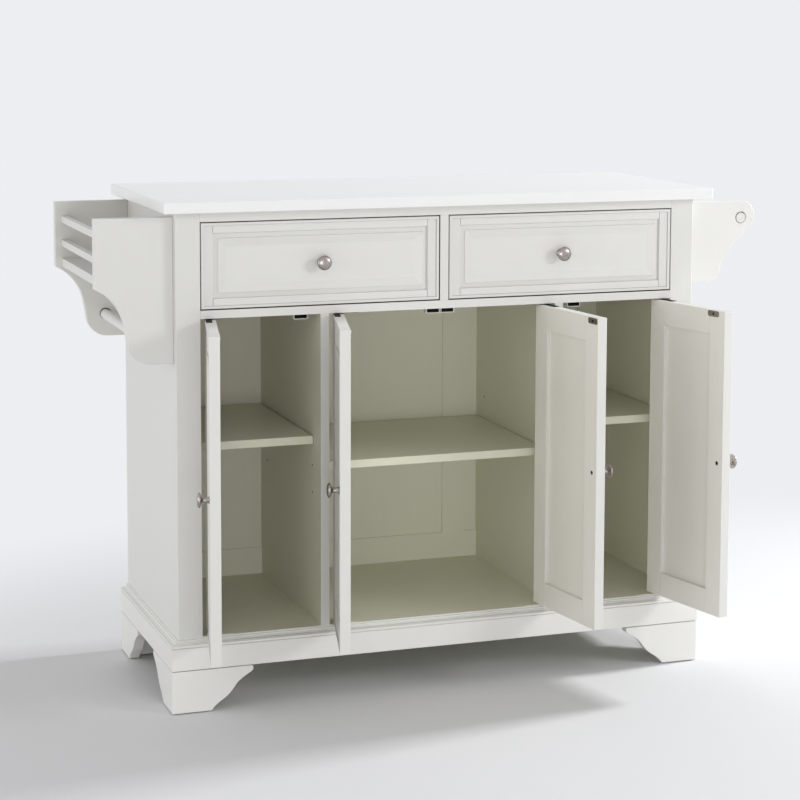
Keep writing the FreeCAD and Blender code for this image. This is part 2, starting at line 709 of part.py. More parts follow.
def peg_holes():
    """Peg holes on both faces of the left partition, at the used row and the rows below."""
    holes = []
    top_row = SIDE_SHELF_TOP - SHELF_THICK + PEG_ABOVE_LEDGE
    for k in range(ROWS_BELOW + 1):
        for y in peg_rows():
            holes.append(peg(-partition_outer, -1, y, top_row - k * SHELF_PITCH))
            holes.append(peg(-partition_inner, 1, y, top_row - k * SHELF_PITCH))
    return holes


def side_peg_holes():
    """Peg holes on the inner face of the left side panel."""
    top_row = SIDE_SHELF_TOP - SHELF_THICK + PEG_ABOVE_LEDGE
    rows = range(ROWS_BELOW + 1)
    return [peg(-side_inner, 1, y, top_row - k * SHELF_PITCH) for k in rows for y in peg_rows()]


# ---- Spice rack on the left, towel rail on the right ----
end_front = front + END_PANEL_INSET
end_back = back - END_PANEL_INSET


def face_from(place, start, steps):
    """A face whose edge runs through steps: ("line", point) or ("arc", middle, point)."""
    edges = []
    here = start
    for step in steps:
        if step[0] == "line":
            edges.append(Part.makeLine(place(*here), place(*step[1])))
        else:
            edges.append(Part.Arc(place(*here), place(*step[1]), place(*step[2])).toShape())
        here = step[-1]
    edges.append(Part.makeLine(place(*here), place(*start)))
    return Part.Face(Part.Wire(edges))


def rack_panel(y0):
    """Spice rack end: square top, a hollow curve in to the waist and a round toe."""
    def place(out, drop):
        return vec(-case_half - out, y0, z_end_top - drop)

    hollow = (RACK_WAIST_OUT + 0.31 * (RACK_OUT - RACK_WAIST_OUT),
              RACK_SHOULDER_DROP + 0.435 * (RACK_WAIST_DROP - RACK_SHOULDER_DROP))
    toe = (RACK_TOE_OUT + 0.63 * (RACK_NECK_OUT - RACK_TOE_OUT),
           RACK_NECK_DROP + 0.76 * (RACK_DROP - RACK_NECK_DROP))
    steps = [("line", (RACK_OUT, 0)), ("line", (RACK_OUT, RACK_SHOULDER_DROP)),
             ("arc", hollow, (RACK_WAIST_OUT, RACK_WAIST_DROP)), ("line", (RACK_NECK_OUT, RACK_NECK_DROP)),
             ("arc", toe, (RACK_TOE_OUT, RACK_DROP)), ("line", (0, RACK_DROP))]
    return face_from(place, (0, 0), steps).extrude(vec(0, END_PANEL_THICK, 0))


def towel_panel(y0):
    """Towel rail end: round nose, a hollow curve and a small round toe, for the right side."""
    def place(out, drop):
        return vec(case_half + out, y0, z_end_top - drop)

    r = TOWEL_END_RADIUS
    nose_x = TOWEL_OUT - r
    dip = math.radians(62)
    nose_end = (nose_x + r * math.cos(dip), r + r * math.sin(dip))
    turn = math.radians(-14)
    nose_mid = (nose_x + r * math.cos(turn), r + r * math.sin(turn))
    hollow = (TOWEL_WAIST_OUT + 0.42 * (TOWEL_NECK_OUT - TOWEL_WAIST_OUT),
              TOWEL_NECK_DROP + 0.47 * (TOWEL_WAIST_DROP - TOWEL_NECK_DROP))
    toe_mid = (TOWEL_TOE_OUT + 0.6 * (TOWEL_WAIST_OUT - TOWEL_TOE_OUT),
               TOWEL_WAIST_DROP + 0.76 * (TOWEL_DROP - TOWEL_WAIST_DROP))
    steps = [("line", (nose_x, 0)), ("arc", nose_mid, nose_end),
             ("line", (TOWEL_NECK_OUT, TOWEL_NECK_DROP)),
             ("arc", hollow, (TOWEL_WAIST_OUT, TOWEL_WAIST_DROP)),
             ("arc", toe_mid, (TOWEL_TOE_OUT, TOWEL_DROP)), ("line", (0, TOWEL_DROP))]
    return face_from(place, (0, 0), steps).extrude(vec(0, END_PANEL_THICK, 0))


def bar_hole(x, z, y0, y1):
    """A hole for a round bar; the bar lies on the bottom of it."""
    return rod(x, y0, y1, z + BAR_HOLE_GAP, BAR_RADIUS + BAR_HOLE_GAP)


rack_inside_front = end_front + END_PANEL_THICK
rack_inside_back = end_back - END_PANEL_THICK
rack_bar_at = (-case_half - RACK_BAR_OUT, z_end_top - RACK_BAR_DROP)
towel_bar_at = (case_half + TOWEL_BAR_OUT, z_end_top - TOWEL_BAR_DROP)


def rack_bar_sockets():
    """Blind sockets in both rack ends."""
    x, z = rack_bar_at
    return bar_hole(x, z, rack_inside_front - BAR_SEAT, rack_inside_back + BAR_SEAT)


def rack_tray():
    top = z_end_top - TRAY_TOP_DROP
    return box(-case_half - TRAY_OUT, rack_inside_front, top - TRAY_THICK, -case_half, rack_inside_back, top)


def rack_rails():
    """Two square rails that keep the jars in."""
    x0 = -case_half - TRAY_OUT
    rails = []
    for drop in RACK_RAIL_DROPS:
        top = z_end_top - drop
        rails.append(box(x0, rack_inside_front, top - RACK_RAIL, x0 + RACK_RAIL_DEPTH, rack_inside_back, top))
    return rails


# ---- Write every node ----
side_left = side_panel().cut(Part.makeCompound(side_peg_holes()))
save("top_slab", worktop())
save("side_panel_left", side_left)
save("side_panel_right", mirrored(side_left))
save("front_post_left", front_post())
save("front_post_right", mirrored(front_post()))
save("top_front_rail", top_front_rail())
save("drawer_rail", drawer_rail())
save("drawer_divider", drawer_divider())
save("drawer_runners", drawer_runners())
save("partition_left", partition())
save("partition_right", mirrored(partition()))
save("cabinet_floor", cabinet_floor())
save("back_frame", back_frame())
save("back_panels", back_panels())

save("base_board_front", skirt_plan("front", z_board, z_moulding))
base_side = skirt_plan("side", z_board, z_moulding)
save("base_boards_side", [base_side, mirrored(base_side)])
save("base_board_back", base_board_back())
save("base_moulding", base_moulding())
for name, face_y, inward in (("front", front - BASE_OUT, 1), ("back", back, -1)):
    foot = bracket_foot(face_y, inward)
    save("foot_" + name + "_left", foot)
    save("foot_" + name + "_right", [mirrored(piece) for piece in foot])
save("foot_glides", foot_glides())

save("side_shelves", [shelf("left"), shelf("right")])
save("centre_shelf", shelf("centre"))
save("shelf_supports", shelf_supports())

save("spice_rack_front_panel", rack_panel(end_front).cut(rack_bar_sockets()))
save("spice_rack_back_panel", rack_panel(rack_inside_back).cut(rack_bar_sockets()))
save("spice_rack_tray", rack_tray())
save("spice_rack_rails", rack_rails())
save("spice_rack_bar", rod(rack_bar_at[0], rack_inside_front - BAR_SEAT + BAR_END_INSET,
                           rack_inside_back + BAR_SEAT - BAR_END_INSET, rack_bar_at[1], BAR_RADIUS))
towel_hole = bar_hole(towel_bar_at[0], towel_bar_at[1], end_front - OVERCUT, end_back + OVERCUT)
save("towel_rail_front_bracket", towel_panel(end_front).cut(towel_hole))
save("towel_rail_back_bracket", towel_panel(rack_inside_back).cut(towel_hole))
save("towel_rail_bar", rod(towel_bar_at[0], end_front + BAR_END_INSET, end_back - BAR_END_INSET,
                           towel_bar_at[1], BAR_RADIUS))

for piece, solids in drawer().items():
    group = solids if isinstance(solids, list) else [solids]
    save("drawer_left_" + piece, group)
    save("drawer_right_" + piece, [mirrored(solid) for solid in group])

save("fixed_hinge_leaves", fixed_leaves())
save("magnetic_catches", magnetic_catches())
for name in DOOR_OPEN:
    for piece, solids in door(name).items():
        save("door_" + name + "_" + piece, solids)
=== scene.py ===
import bpy
import math
import numpy as np
from mathutils import Matrix, Vector
from mathutils.geometry import tessellate_polygon


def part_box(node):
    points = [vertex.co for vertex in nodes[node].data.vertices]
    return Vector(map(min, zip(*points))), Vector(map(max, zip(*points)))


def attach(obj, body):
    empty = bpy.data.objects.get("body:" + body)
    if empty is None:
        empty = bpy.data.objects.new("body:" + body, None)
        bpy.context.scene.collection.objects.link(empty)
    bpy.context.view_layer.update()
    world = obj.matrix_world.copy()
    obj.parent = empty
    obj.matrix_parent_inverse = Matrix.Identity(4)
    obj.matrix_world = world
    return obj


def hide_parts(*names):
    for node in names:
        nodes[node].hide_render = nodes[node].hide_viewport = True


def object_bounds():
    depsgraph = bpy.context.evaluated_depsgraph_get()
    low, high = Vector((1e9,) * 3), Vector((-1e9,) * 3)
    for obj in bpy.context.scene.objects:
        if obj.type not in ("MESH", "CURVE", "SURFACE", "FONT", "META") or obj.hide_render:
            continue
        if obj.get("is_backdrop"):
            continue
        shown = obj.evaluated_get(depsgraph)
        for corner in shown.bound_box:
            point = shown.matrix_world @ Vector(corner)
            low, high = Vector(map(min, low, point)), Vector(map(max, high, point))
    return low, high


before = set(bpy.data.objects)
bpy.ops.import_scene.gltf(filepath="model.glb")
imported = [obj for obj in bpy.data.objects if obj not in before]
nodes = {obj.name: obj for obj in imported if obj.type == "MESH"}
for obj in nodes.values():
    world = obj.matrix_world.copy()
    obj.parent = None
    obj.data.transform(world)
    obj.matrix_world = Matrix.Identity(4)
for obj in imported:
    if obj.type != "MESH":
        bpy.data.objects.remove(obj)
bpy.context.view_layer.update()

# ---------------------------------------------------------------------------
# Camera. It stands to the left of the island at standing height and looks a
# little down and to the right. The lens and the turn were solved from the
# photograph, in an 800 by 800 frame.
CAMERA_PLACE = (-1.3824, -3.8038, 1.2446)
CAMERA_YAW_RIGHT, CAMERA_PITCH, CAMERA_ROLL = (math.radians(a) for a in (19.34, -6.264, 0.15))
CAMERA_FOCAL_PIXELS = 2183.8
FRAME_PIXELS = 800
FRAME_CENTRE_ROW = 250

camera_data = bpy.data.cameras.new("island_camera")
camera_data.sensor_width = 36.0
camera_data.lens = CAMERA_FOCAL_PIXELS * camera_data.sensor_width / FRAME_PIXELS
camera_data.shift_y = (FRAME_CENTRE_ROW - FRAME_PIXELS / 2) / FRAME_PIXELS
camera_data.clip_end = 60.0
camera = bpy.data.objects.new("island_camera", camera_data)
bpy.context.collection.objects.link(camera)
camera.matrix_world = (Matrix.Translation(CAMERA_PLACE) @ Matrix.Rotation(-CAMERA_YAW_RIGHT, 4, "Z")
                       @ Matrix.Rotation(math.pi / 2 + CAMERA_PITCH, 4, "X")
                       @ Matrix.Rotation(CAMERA_ROLL, 4, "Z"))
bpy.context.scene.camera = camera


# ---------------------------------------------------------------------------
# Worktop. One slab of wood, sanded round along every arris, sprayed a brighter
# and glossier white than the case and screwed down from below.
def rectangle(a0, b0, a1, b1):
    return [(a0, b0), (a1, b0), (a1, b1), (a0, b1)]


def eased_line(corners, radii, closed=True, steps=3):
    """A line through corners, each corner turned by an arc that touches both of its runs. The arc's
    centre stands a radius from both runs, its points a radius from the centre, and the normal turns
    evenly from one run's to the next. The normal points to the right of travel."""
    corners = np.asarray(corners, float)
    radii = np.broadcast_to(np.asarray(radii, float), len(corners))
    coming = corners - np.roll(corners, 1, axis=0)
    going = np.roll(corners, -1, axis=0) - corners
    if not closed:
        coming[0] = going[0]
        going[-1] = coming[-1]
    length_in = np.linalg.norm(coming, axis=1)
    length_out = np.linalg.norm(going, axis=1)
    u = coming / length_in[:, None]
    v = going / length_out[:, None]
    turn = np.arctan2(u[:, 0] * v[:, 1] - u[:, 1] * v[:, 0], (u * v).sum(axis=1))
    half = np.tan(np.abs(turn) / 2)
    reach = np.minimum(radii * half, 0.45 * np.minimum(length_in, length_out))
    radius = np.sign(turn) * reach / np.maximum(half, 1e-9)
    angle = np.arctan2(-u[:, 0], u[:, 1])[:, None] + turn[:, None] * np.linspace(0, 1, steps + 1)
    normal = np.stack([np.cos(angle), np.sin(angle)], axis=-1)
    centre = corners - u * reach[:, None] - normal[:, 0] * radius[:, None]
    points = centre[:, None] + normal * radius[:, None, None]
    if closed:
        return points.reshape(-1, 2), normal.reshape(-1, 2)
    return tuple(np.concatenate([a[0, :1], a[1:-1].reshape(-1, 2), a[-1, -1:]]) for a in (points, normal))


def grid_quads(rows, columns, closed):
    """Faces of a grid whose corners are numbered row by row. A closed grid joins its last column
    to its first."""
    i = np.arange(rows - 1)[:, None] * columns
    j = np.arange(columns if closed else columns - 1)[None]
    k = (j + 1) % columns
    return np.stack([i + j, i + k, i + columns + k, i + columns + j], axis=-1).reshape(-1, 4)


def to_space(flat, level, axis):
    """Puts flat points or normals (pairs) and their level along an axis into x, y, z. Outlines across
    x are (y, z), across z are (x, y) and across y are (x, z) with the level counted forwards."""
    a, b = flat[..., 0], flat[..., 1]
    w = np.broadcast_to(level, a.shape)
    order = {"x": (w, a, b), "y": (a, -w, b), "z": (a, b, w)}[axis]
    return np.stack(order, axis=-1).reshape(-1, 3)


BORE_ARRIS = 0.0004
ROUND_SIDES = 40
QUARTER = np.linspace(0, np.pi / 2, 4)


def circle(centre, radius):
    turn = np.arange(ROUND_SIDES) * 2 * np.pi / ROUND_SIDES
    return np.asarray(centre) + radius * np.stack([np.cos(turn), np.sin(turn)], axis=-1)


def face_with_mouths(loops, faces_up):
    """Triangles of a flat face between its outline and the mouths of its holes."""
    flat = np.concatenate(loops)
    tris = np.array(tessellate_polygon([[(*p, 0.0) for p in loop] for loop in loops]))
    a, b, c = (flat[tris[:, k]] for k in range(3))
    area = (b - a)[:, 0] * (c - a)[:, 1] - (b - a)[:, 1] * (c - a)[:, 0]
    wrong = (area < 0) == faces_up
    tris[wrong] = tris[wrong][:, ::-1]
    return tris[np.abs(area) > 1e-14]


def eased_plate(outline, low, high, arris, axis, finish, low_mouths=(), high_mouths=()):
    """A flat board: an outline pushed from low to high along an axis, with quarter-round arrises.
    For a from 0 to 90 degrees a ring is drawn in by arris * (1 - sin a) and stands arris * (1 - cos a)
    off the face, and its normal leans from the face's to the outline's by the same a. Mouths are
    circles (centre, radius) left open in a face for a bore."""
    if axis == "y":
        low, high = -high, -low
        low_mouths, high_mouths = high_mouths, low_mouths
    line, line_normal = outline
    lean = np.concatenate([QUARTER, QUARTER[::-1]])
    lower = np.arange(len(lean)) < len(QUARTER)
    inset, off = arris * (1 - np.sin(lean)), arris * (1 - np.cos(lean))
    level = np.where(lower, low + off, high - off)
    along = np.where(lower, -np.cos(lean), np.cos(lean))
    ring = line[None] - line_normal[None] * inset[:, None, None]
    points = to_space(ring, level[:, None], axis)
    normals = to_space(line_normal[None] * np.sin(lean)[:, None, None], along[:, None], axis)
    count = len(line)
    faces = [grid_quads(len(lean), count, True)]
    sheets = [(points, normals, faces, finish)]
    for mouths, where, row, faces_up in ((low_mouths, low, 0, False),
                                         (high_mouths, high, len(lean) - 1, True)):
        if not mouths:
            loop = row * count + np.arange(count)
            faces.append((loop if faces_up else loop[::-1])[None])
            continue
        loops = [ring[row]] + [circle(centre, radius + BORE_ARRIS)[::-1] for centre, radius in mouths]
        flat = np.concatenate(loops)
        facing = to_space(np.zeros_like(flat), 1.0 if faces_up else -1.0, axis)
        sheets.append((to_space(flat, where, axis), facing, [face_with_mouths(loops, faces_up)], finish))
    return sheets


def bore(centre, radius, front, back, finish, floor=None):
    """The wall of a hole drilled along y, seen from inside, with its mouths rubbed round as a board's
    arrises are. A blind hole has its floor at the front or at the back."""
    mouth = [(radius + BORE_ARRIS * (1 - math.sin(t)), BORE_ARRIS * (1 - math.cos(t)),
              math.sin(t), math.cos(t)) for t in QUARTER]
    rings = [(r, off - back, s, -c) for r, off, s, c in mouth]
    if floor == "back":
        rings = [(radius, -back, 1.0, 0.0)]
    if floor == "front":
        mouth = [(radius, 0.0, 1.0, 0.0)]
    rings += [(r, -front - off, s, c) for r, off, s, c in mouth[::-1]]
    around = circle((0, 0), 1.0)
    size, level, inward, along = np.array(rings).T
    points = to_space(np.asarray(centre) + around[None] * size[:, None, None], level[:, None], "y")
    normals = to_space(-around[None] * inward[:, None, None], along[:, None], "y")
    sheets = [(points, normals, [grid_quads(len(rings), ROUND_SIDES, True)[:, ::-1]], finish)]
    if floor:
        loop = np.arange(ROUND_SIDES)
        disc, order, facing = ((points[:ROUND_SIDES], loop, -1.0) if floor == "back"
                               else (points[-ROUND_SIDES:], loop[::-1], 1.0))
        sheets.append((disc, np.tile((0.0, facing, 0.0), (ROUND_SIDES, 1)), [order[None]], finish))
    return sheets


CORNER_OVER_ARRIS = 1.15


def board(low, high, arris, axis, finish, end_finish=None, back_mouths=()):
    """A sawn and sanded board between two opposite corners, all arrises alike. Its two faces across
    the axis may have a finish of their own."""
    a, b = {"x": (1, 2), "y": (0, 2), "z": (0, 1)}[axis]
    outline = eased_line(rectangle(low[a], low[b], high[a], high[b]), CORNER_OVER_ARRIS * arris)
    along = "xyz".index(axis)
    made = eased_plate(outline, low[along], high[along], arris, axis, finish, high_mouths=back_mouths)
    if end_finish:
        points, normals, (sides, *ends), _ = made[0]
        made = [(points, normals, [sides], finish), (points, normals, ends, end_finish)]
    return made


def add_piece(name, node, solids, body="carcass"):
    """Makes one object in place of a node, from closed solids, each a list of sheets of (points,
    normals, face arrays, finish). A solid's points at one place are joined, but not with another
    solid's, and every face corner keeps the normal that its own sheet worked out."""
    sheets = [sheet for solid in solids for sheet in solid]
    owner = np.repeat(np.arange(len(solids)), [sum(len(sheet[0]) for sheet in solid) for solid in solids])
    starts = np.cumsum([0] + [len(sheet[0]) for sheet in sheets])
    points = np.concatenate([sheet[0] for sheet in sheets])
    normals = np.concatenate([sheet[1] for sheet in sheets])
    groups = [(np.asarray(group) + start, sheet[3]) for sheet, start in zip(sheets, starts)
              for group in sheet[2]]
    marked = np.column_stack([owner, np.round(points, 7) + 0.0])
    spots, number = np.unique(marked, axis=0, return_inverse=True)
    number = number.ravel()
    faces = [face for group, _ in groups for face in number[group].tolist()]
    corners = np.concatenate([group.ravel() for group, _ in groups])
    finishes = list(dict.fromkeys(finish for _, finish in groups))
    mesh = bpy.data.meshes.new(name)
    mesh.from_pydata(spots[:, 1:].tolist(), [], faces, shade_flat=False)
    for finish in finishes:
        mesh.materials.append(finish)
    marks = np.concatenate([np.full(len(group), finishes.index(finish)) for group, finish in groups])
    mesh.polygons.foreach_set("material_index", marks.astype(np.int32))
    size = np.linalg.norm(normals, axis=1)
    mesh.normals_split_custom_set((normals / size[:, None])[corners].tolist())
    piece = bpy.data.objects.new(name, mesh)
    bpy.context.collection.objects.link(piece)
    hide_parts(node)
    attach(piece, body)


class Wire:
    """One output socket of a material's node tree, which can be added, multiplied and compared."""

    def __init__(self, tree, socket):
        self.tree = tree
        self.socket = socket

    def _maths(self, operation, *values):
        return add_node(self.tree, "Math", {"operation": operation},
                        **{"_%d" % k: value for k, value in enumerate(values)})

    def __add__(self, other):
        return self._maths("ADD", self, other)

    def __radd__(self, other):
        return self._maths("ADD", other, self)

    def __mul__(self, other):
        return self._maths("MULTIPLY", self, other)

    def __rmul__(self, other):
        return self._maths("MULTIPLY", other, self)

    def __gt__(self, other):
        return self._maths("GREATER_THAN", self, other)

    def __lt__(self, other):
        return self._maths("LESS_THAN", self, other)

    def __abs__(self):
        return self._maths("ABSOLUTE", self)


def add_node(tree, kind, settings=None, out=0, **inputs):
    """Makes a node, sets it up, then feeds its sockets. _0 and _1 stand for sockets by number."""
    made = tree.nodes.new("ShaderNode" + kind)
    for key, value in (settings or {}).items():
        setattr(made, key, value)
    for key, value in inputs.items():
        socket = made.inputs[int(key[1:])] if key[0] == "_" else made.inputs[key.replace("_", " ")]
        if isinstance(value, Wire):
            tree.links.new(value.socket, socket)
        else:
            socket.default_value = (*value, 1.0) if socket.type == "RGBA" else value
    return Wire(tree, made.outputs[out]) if len(made.outputs) else None


def new_material(name):
    """An empty material and its tree."""
    material = bpy.data.materials.new(name)
    material.use_nodes = True
    material.node_tree.nodes.clear()
    return material, material.node_tree


def place(tree, axis=None):
    """A point's own place on the object, or one coordinate of it."""
    where = add_node(tree, "TexCoord", None, 3)
    return add_node(tree, "SeparateXYZ", None, "xyz".index(axis), Vector=where) if axis else where


def noise(tree, scale, detail, roughness, stretch=None):
    """Noise over the object, at one scale or drawn out along the grain."""
    where = place(tree)
    if stretch:
        where = add_node(tree, "Mapping", Vector=where, Scale=stretch)
    return add_node(tree, "TexNoise", Vector=where, Scale=scale, Detail=detail, Roughness=roughness)


def mix_colour(tree, factor, first, second):
    """A colour between two, by a factor wire. The Mix node's colour sockets are numbers 6 and 7."""
    return add_node(tree, "Mix", {"data_type": "RGBA"}, 2, _0=factor, _6=first, _7=second)


def surface(tree, **sockets):
    add_node(tree, "OutputMaterial", Surface=add_node(tree, "BsdfPrincipled", **sockets))


GRAIN = {"up": (160.0, 160.0, 9.0), "across": (9.0, 160.0, 160.0), "deep": (160.0, 9.0, 160.0)}
DARKER, LIGHTER = 0.965, 1.02


def tones(colour, shade=1.0):
    """The two ends of a paint's cloudy tone. A shade other than 1 makes them lighter or darker as painted light
    or painted shade.
    """
    return [tuple(min(1.0, c * end * shade) for c in colour) for end in (DARKER, LIGHTER)]


def paint(name, colour, roughness, way, coat=0.0, shade=1.0):
    """Satin paint: cloudy tone a percent or two either side of its colour, fine orange peel and
    a faint lengthwise grain, both as bump, and a gloss that wanders. A shade other than 1 makes the
    colour lighter or darker as painted light or painted shade."""
    material, tree = new_material(name)
    clouds = noise(tree, 5.0, 3.0, 0.55)
    peel = noise(tree, 900.0, 2.0, 0.5)
    grain = noise(tree, 1.0, 4.0, 0.6, GRAIN[way])
    surface(tree, Base_Color=mix_colour(tree, clouds * 0.55 + grain * 0.45, *tones(colour, shade)),
            Roughness=clouds * 0.10 + (roughness - 0.05), Coat_Weight=coat, Coat_Roughness=0.3,
            Normal=add_node(tree, "Bump", Height=peel * 0.25 + grain * 0.75, Strength=0.12, Distance=0.0006))
    return material


WORKTOP_ARRIS = 0.0020
worktop_white = paint("worktop_white", (0.87, 0.87, 0.865), 0.30, "across", coat=0.3)
add_piece("worktop_slab", "top_slab", [board(*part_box("top_slab"), WORKTOP_ARRIS, "y", worktop_white)])

# ---------------------------------------------------------------------------
# Case front. Two square posts with rails dowelled between them, sprayed satin
# off-white. The posts' front arrises are sanded round, the joints show as
# fine lines.
CASE_WHITE = (0.750, 0.745, 0.715)
# Painted shade: copies of one satin white, made 5% darker for upright-grained pieces and 2.5% darker for
# cross-grained ones.
case_paint = {way: paint("satin_white_" + way, CASE_WHITE, 0.42, way, shade=shade)
              for way, shade in (("up", 0.95), ("across", 0.975), ("deep", 1.0))}
POST_ARRIS = 0.0018
POST_INNER_ARRIS = 0.0008
BUTT_ARRIS = 0.0001
for side, front_radii in (("left", (POST_ARRIS, POST_INNER_ARRIS)),
                          ("right", (POST_INNER_ARRIS, POST_ARRIS))):
    low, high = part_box("front_post_" + side)
    outline = eased_line(rectangle(*low[:2], *high[:2]), [*front_radii, BUTT_ARRIS, BUTT_ARRIS], steps=4)
    add_piece("post_" + side, "front_post_" + side,
              [eased_plate(outline, low[2], high[2], BUTT_ARRIS / 2, "z", case_paint["up"])])
RAIL_ARRIS = 0.0005
# Painted shade: a near-black board colour for holes, sawn edges and gaps where the shade is deep.
PAINTED_SHADE_BLACK = (0.07, 0.06, 0.045)
painted_shade_black_board = paint("bare_dark_board", PAINTED_SHADE_BLACK, 0.8, "across")
# The drawer rail's top and bottom faces are near-black: painted shade in the gaps under the drawers and over
# the doors.
for rail, end_finish in (("top_front_rail", None), ("drawer_rail", painted_shade_black_board)):
    add_piece(rail + "_board", rail,
              [board(*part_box(rail), RAIL_ARRIS, "z", case_paint["across"], end_finish)])

# ---------------------------------------------------------------------------
# Case sides, floor, partitions and back. Flat boards, dowelled and glued, the
# back made of rails and uprights round thin panels. Their inner faces have the
# same paint, made yellower as painted shade: the olive tint that the shade
# inside the case takes.
INNER_SHADE_TINTED_WHITE = (0.755, 0.747, 0.610)
# Painted light: the back's rails, uprights and panels take a lighter copy of the inner white.
BACK_PAINTED_LIGHT_WHITE = (0.795, 0.785, 0.665)
CASE_HALF = 0.501
HAIR = 0.0002
FAR = 9.0
EDGE_PAINTED_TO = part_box("front_post_left")[0][1] + 0.0015


def board_finish(name, way, inner_within, core, outside=0.96, within_shade=1.0):
    """Paint for a sawn board, told apart by place: the case's white on its front edge and outside, scaled by
    outside as painted shade; the inner white within a distance of the middle, scaled by within_shade as
    painted light or shade; and near-black painted shade in drilled holes and on sawn edges behind the front.
    Core is the board's own span of distances from the middle, less a hair."""
    material, tree = new_material(name)
    aside = abs(place(tree, "x"))
    behind = place(tree, "y") > EDGE_PAINTED_TO
    clouds = noise(tree, 5.0, 3.0, 0.55)
    grain = noise(tree, 1.0, 4.0, 0.6, GRAIN[way])
    drift = clouds * 0.55 + grain * 0.45
    white = mix_colour(tree, drift, *tones(CASE_WHITE, outside))
    inside = mix_colour(tree, drift, *tones(INNER_SHADE_TINTED_WHITE, within_shade))
    tone = mix_colour(tree, behind * (aside < inner_within), white, inside)
    if core:
        tone = mix_colour(tree, behind * (aside > core[0]) * (aside < core[1]), tone, PAINTED_SHADE_BLACK)
    surface(tree, Base_Color=tone, Roughness=clouds * 0.10 + 0.40,
            Normal=add_node(tree, "Bump", Height=grain, Strength=0.10, Distance=0.0006))
    return material


def finish_node(node, finish):
    """Gives a CAD node that keeps its own shape a finish."""
    nodes[node].data.materials.clear()
    nodes[node].data.materials.append(finish)


side_inner = abs(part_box("side_panel_left")[1][0]) + HAIR
partition_near, partition_far = sorted(abs(v[0]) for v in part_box("partition_left"))
# Painted light and shade: the right side board's inner face is 14% lighter than the left's, and the partitions'
# inner faces are 4% darker.
side_finish, right_side_painted_light_finish = (
    board_finish(name, "up", side_inner, (side_inner, CASE_HALF - HAIR), within_shade=shade)
    for name, shade in (("side_board", 1.0), ("right_side_board", 1.14)))
partition_painted_shade_finish = board_finish("partition_board", "up", FAR, (partition_near + HAIR, partition_far - HAIR),
                                within_shade=0.96)
inner_shade_tinted_paint = {way: paint("inner_white_" + way, INNER_SHADE_TINTED_WHITE, 0.48, way) for way in ("across", "deep")}
back_lighter_paint = paint("back_white", BACK_PAINTED_LIGHT_WHITE, 0.48, "up")
for node, finish in (("side_panel_left", side_finish), ("side_panel_right", right_side_painted_light_finish),
                     ("partition_left", partition_painted_shade_finish), ("partition_right", partition_painted_shade_finish),
                     # The drawer divider is near-black behind its front edge: painted shade in the gaps beside
                     # the drawers.
                     ("drawer_divider", board_finish("divider_board", "up", 0.0, (-1.0, FAR))),
                     ("cabinet_floor", board_finish("floor_board", "across", FAR, None)),
                     ("drawer_runners", inner_shade_tinted_paint["deep"]), ("base_board_back", inner_shade_tinted_paint["across"]),
                     ("back_frame", back_lighter_paint), ("back_panels", back_lighter_paint)):
    finish_node(node, finish)

# ---------------------------------------------------------------------------
# Base boards and cap moulding. Boards mitred at the front corners, with a
# moulding on top: a ledge, a hollow, a round nose and a quirk above the board,
# run on a spindle and mitred too.
BASE_OUT = 0.015
# Painted light: the base boards, moulding, feet and towel brackets take the case's white made 6% lighter.
base_light_paint = {way: paint("base_white_" + way, CASE_WHITE, 0.42, way, shade=1.06)
              for way in ("across", "deep")}
z_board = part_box("base_board_front")[0][2]
case_front, z_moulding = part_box("base_board_front")[1][1:]
case_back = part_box("base_boards_side")[1][1]


def skirt_run(section, side, finish):
    """A closed section of (distance out, height) carried along one side of the case. Its ends follow
    the mitre: a point that stands further out runs further past the corner."""
    line, line_normal = section
    out, height = line.T
    mitre, square = case_front - out, np.full_like(out, case_back)
    ways, depths, outward, travel = {
        "front": ((-1, 1), (mitre, mitre), (0.0, -1.0), (1.0, 0.0, 0.0)),
        "left": ((-1, -1), (mitre, square), (-1.0, 0.0), (0.0, 1.0, 0.0)),
        "right": ((1, 1), (mitre, square), (1.0, 0.0), (0.0, 1.0, 0.0))}[side]
    ends = [np.column_stack([way * (CASE_HALF + out), y, height]) for way, y in zip(ways, depths)]
    normal = np.column_stack([line_normal[:, :1] * outward, line_normal[:, 1]])
    count = len(out)
    quads = grid_quads(2, count, True)
    loops = np.arange(count)[::-1], np.arange(count)
    if side != "left":
        quads, loops = quads[:, ::-1], loops[::-1]
    return [(np.concatenate(ends), np.tile(normal, (2, 1)), [quads], finish)] + [
        (points, np.tile(travel, (count, 1)) * facing, [loop[None]], finish)
        for points, facing, loop in zip(ends, (-1, 1), loops)]


BASE_ARRIS = 0.0007
board_section = eased_line(rectangle(0, z_board, BASE_OUT, z_moulding),
                           [BUTT_ARRIS, BASE_ARRIS, BASE_ARRIS, BUTT_ARRIS])
add_piece("base_front_board", "base_board_front", [skirt_run(board_section, "front", base_light_paint["across"])])
add_piece("base_side_boards", "base_boards_side",
          [skirt_run(board_section, side, base_light_paint["deep"]) for side in ("left", "right")])
MOULDING_LEDGE = 0.0030
MOULDING_QUIRK = 0.0018
NOSE_HEIGHT = 0.0058
NOSE_FOOT = 0.0010
NOSE_FOOT_IN = 0.0022
z_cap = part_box("base_moulding")[1][2]
z_nose = z_moulding + NOSE_HEIGHT
nose_foot_out = BASE_OUT - NOSE_FOOT_IN
hollow_out, hollow_in = BASE_OUT - 0.0028, MOULDING_LEDGE + MOULDING_QUIRK
hollow_low, hollow_high = z_nose + 0.0006, z_cap - 0.0030
hollow_turn = np.linspace(0, np.pi / 2, 9)[1:-1]
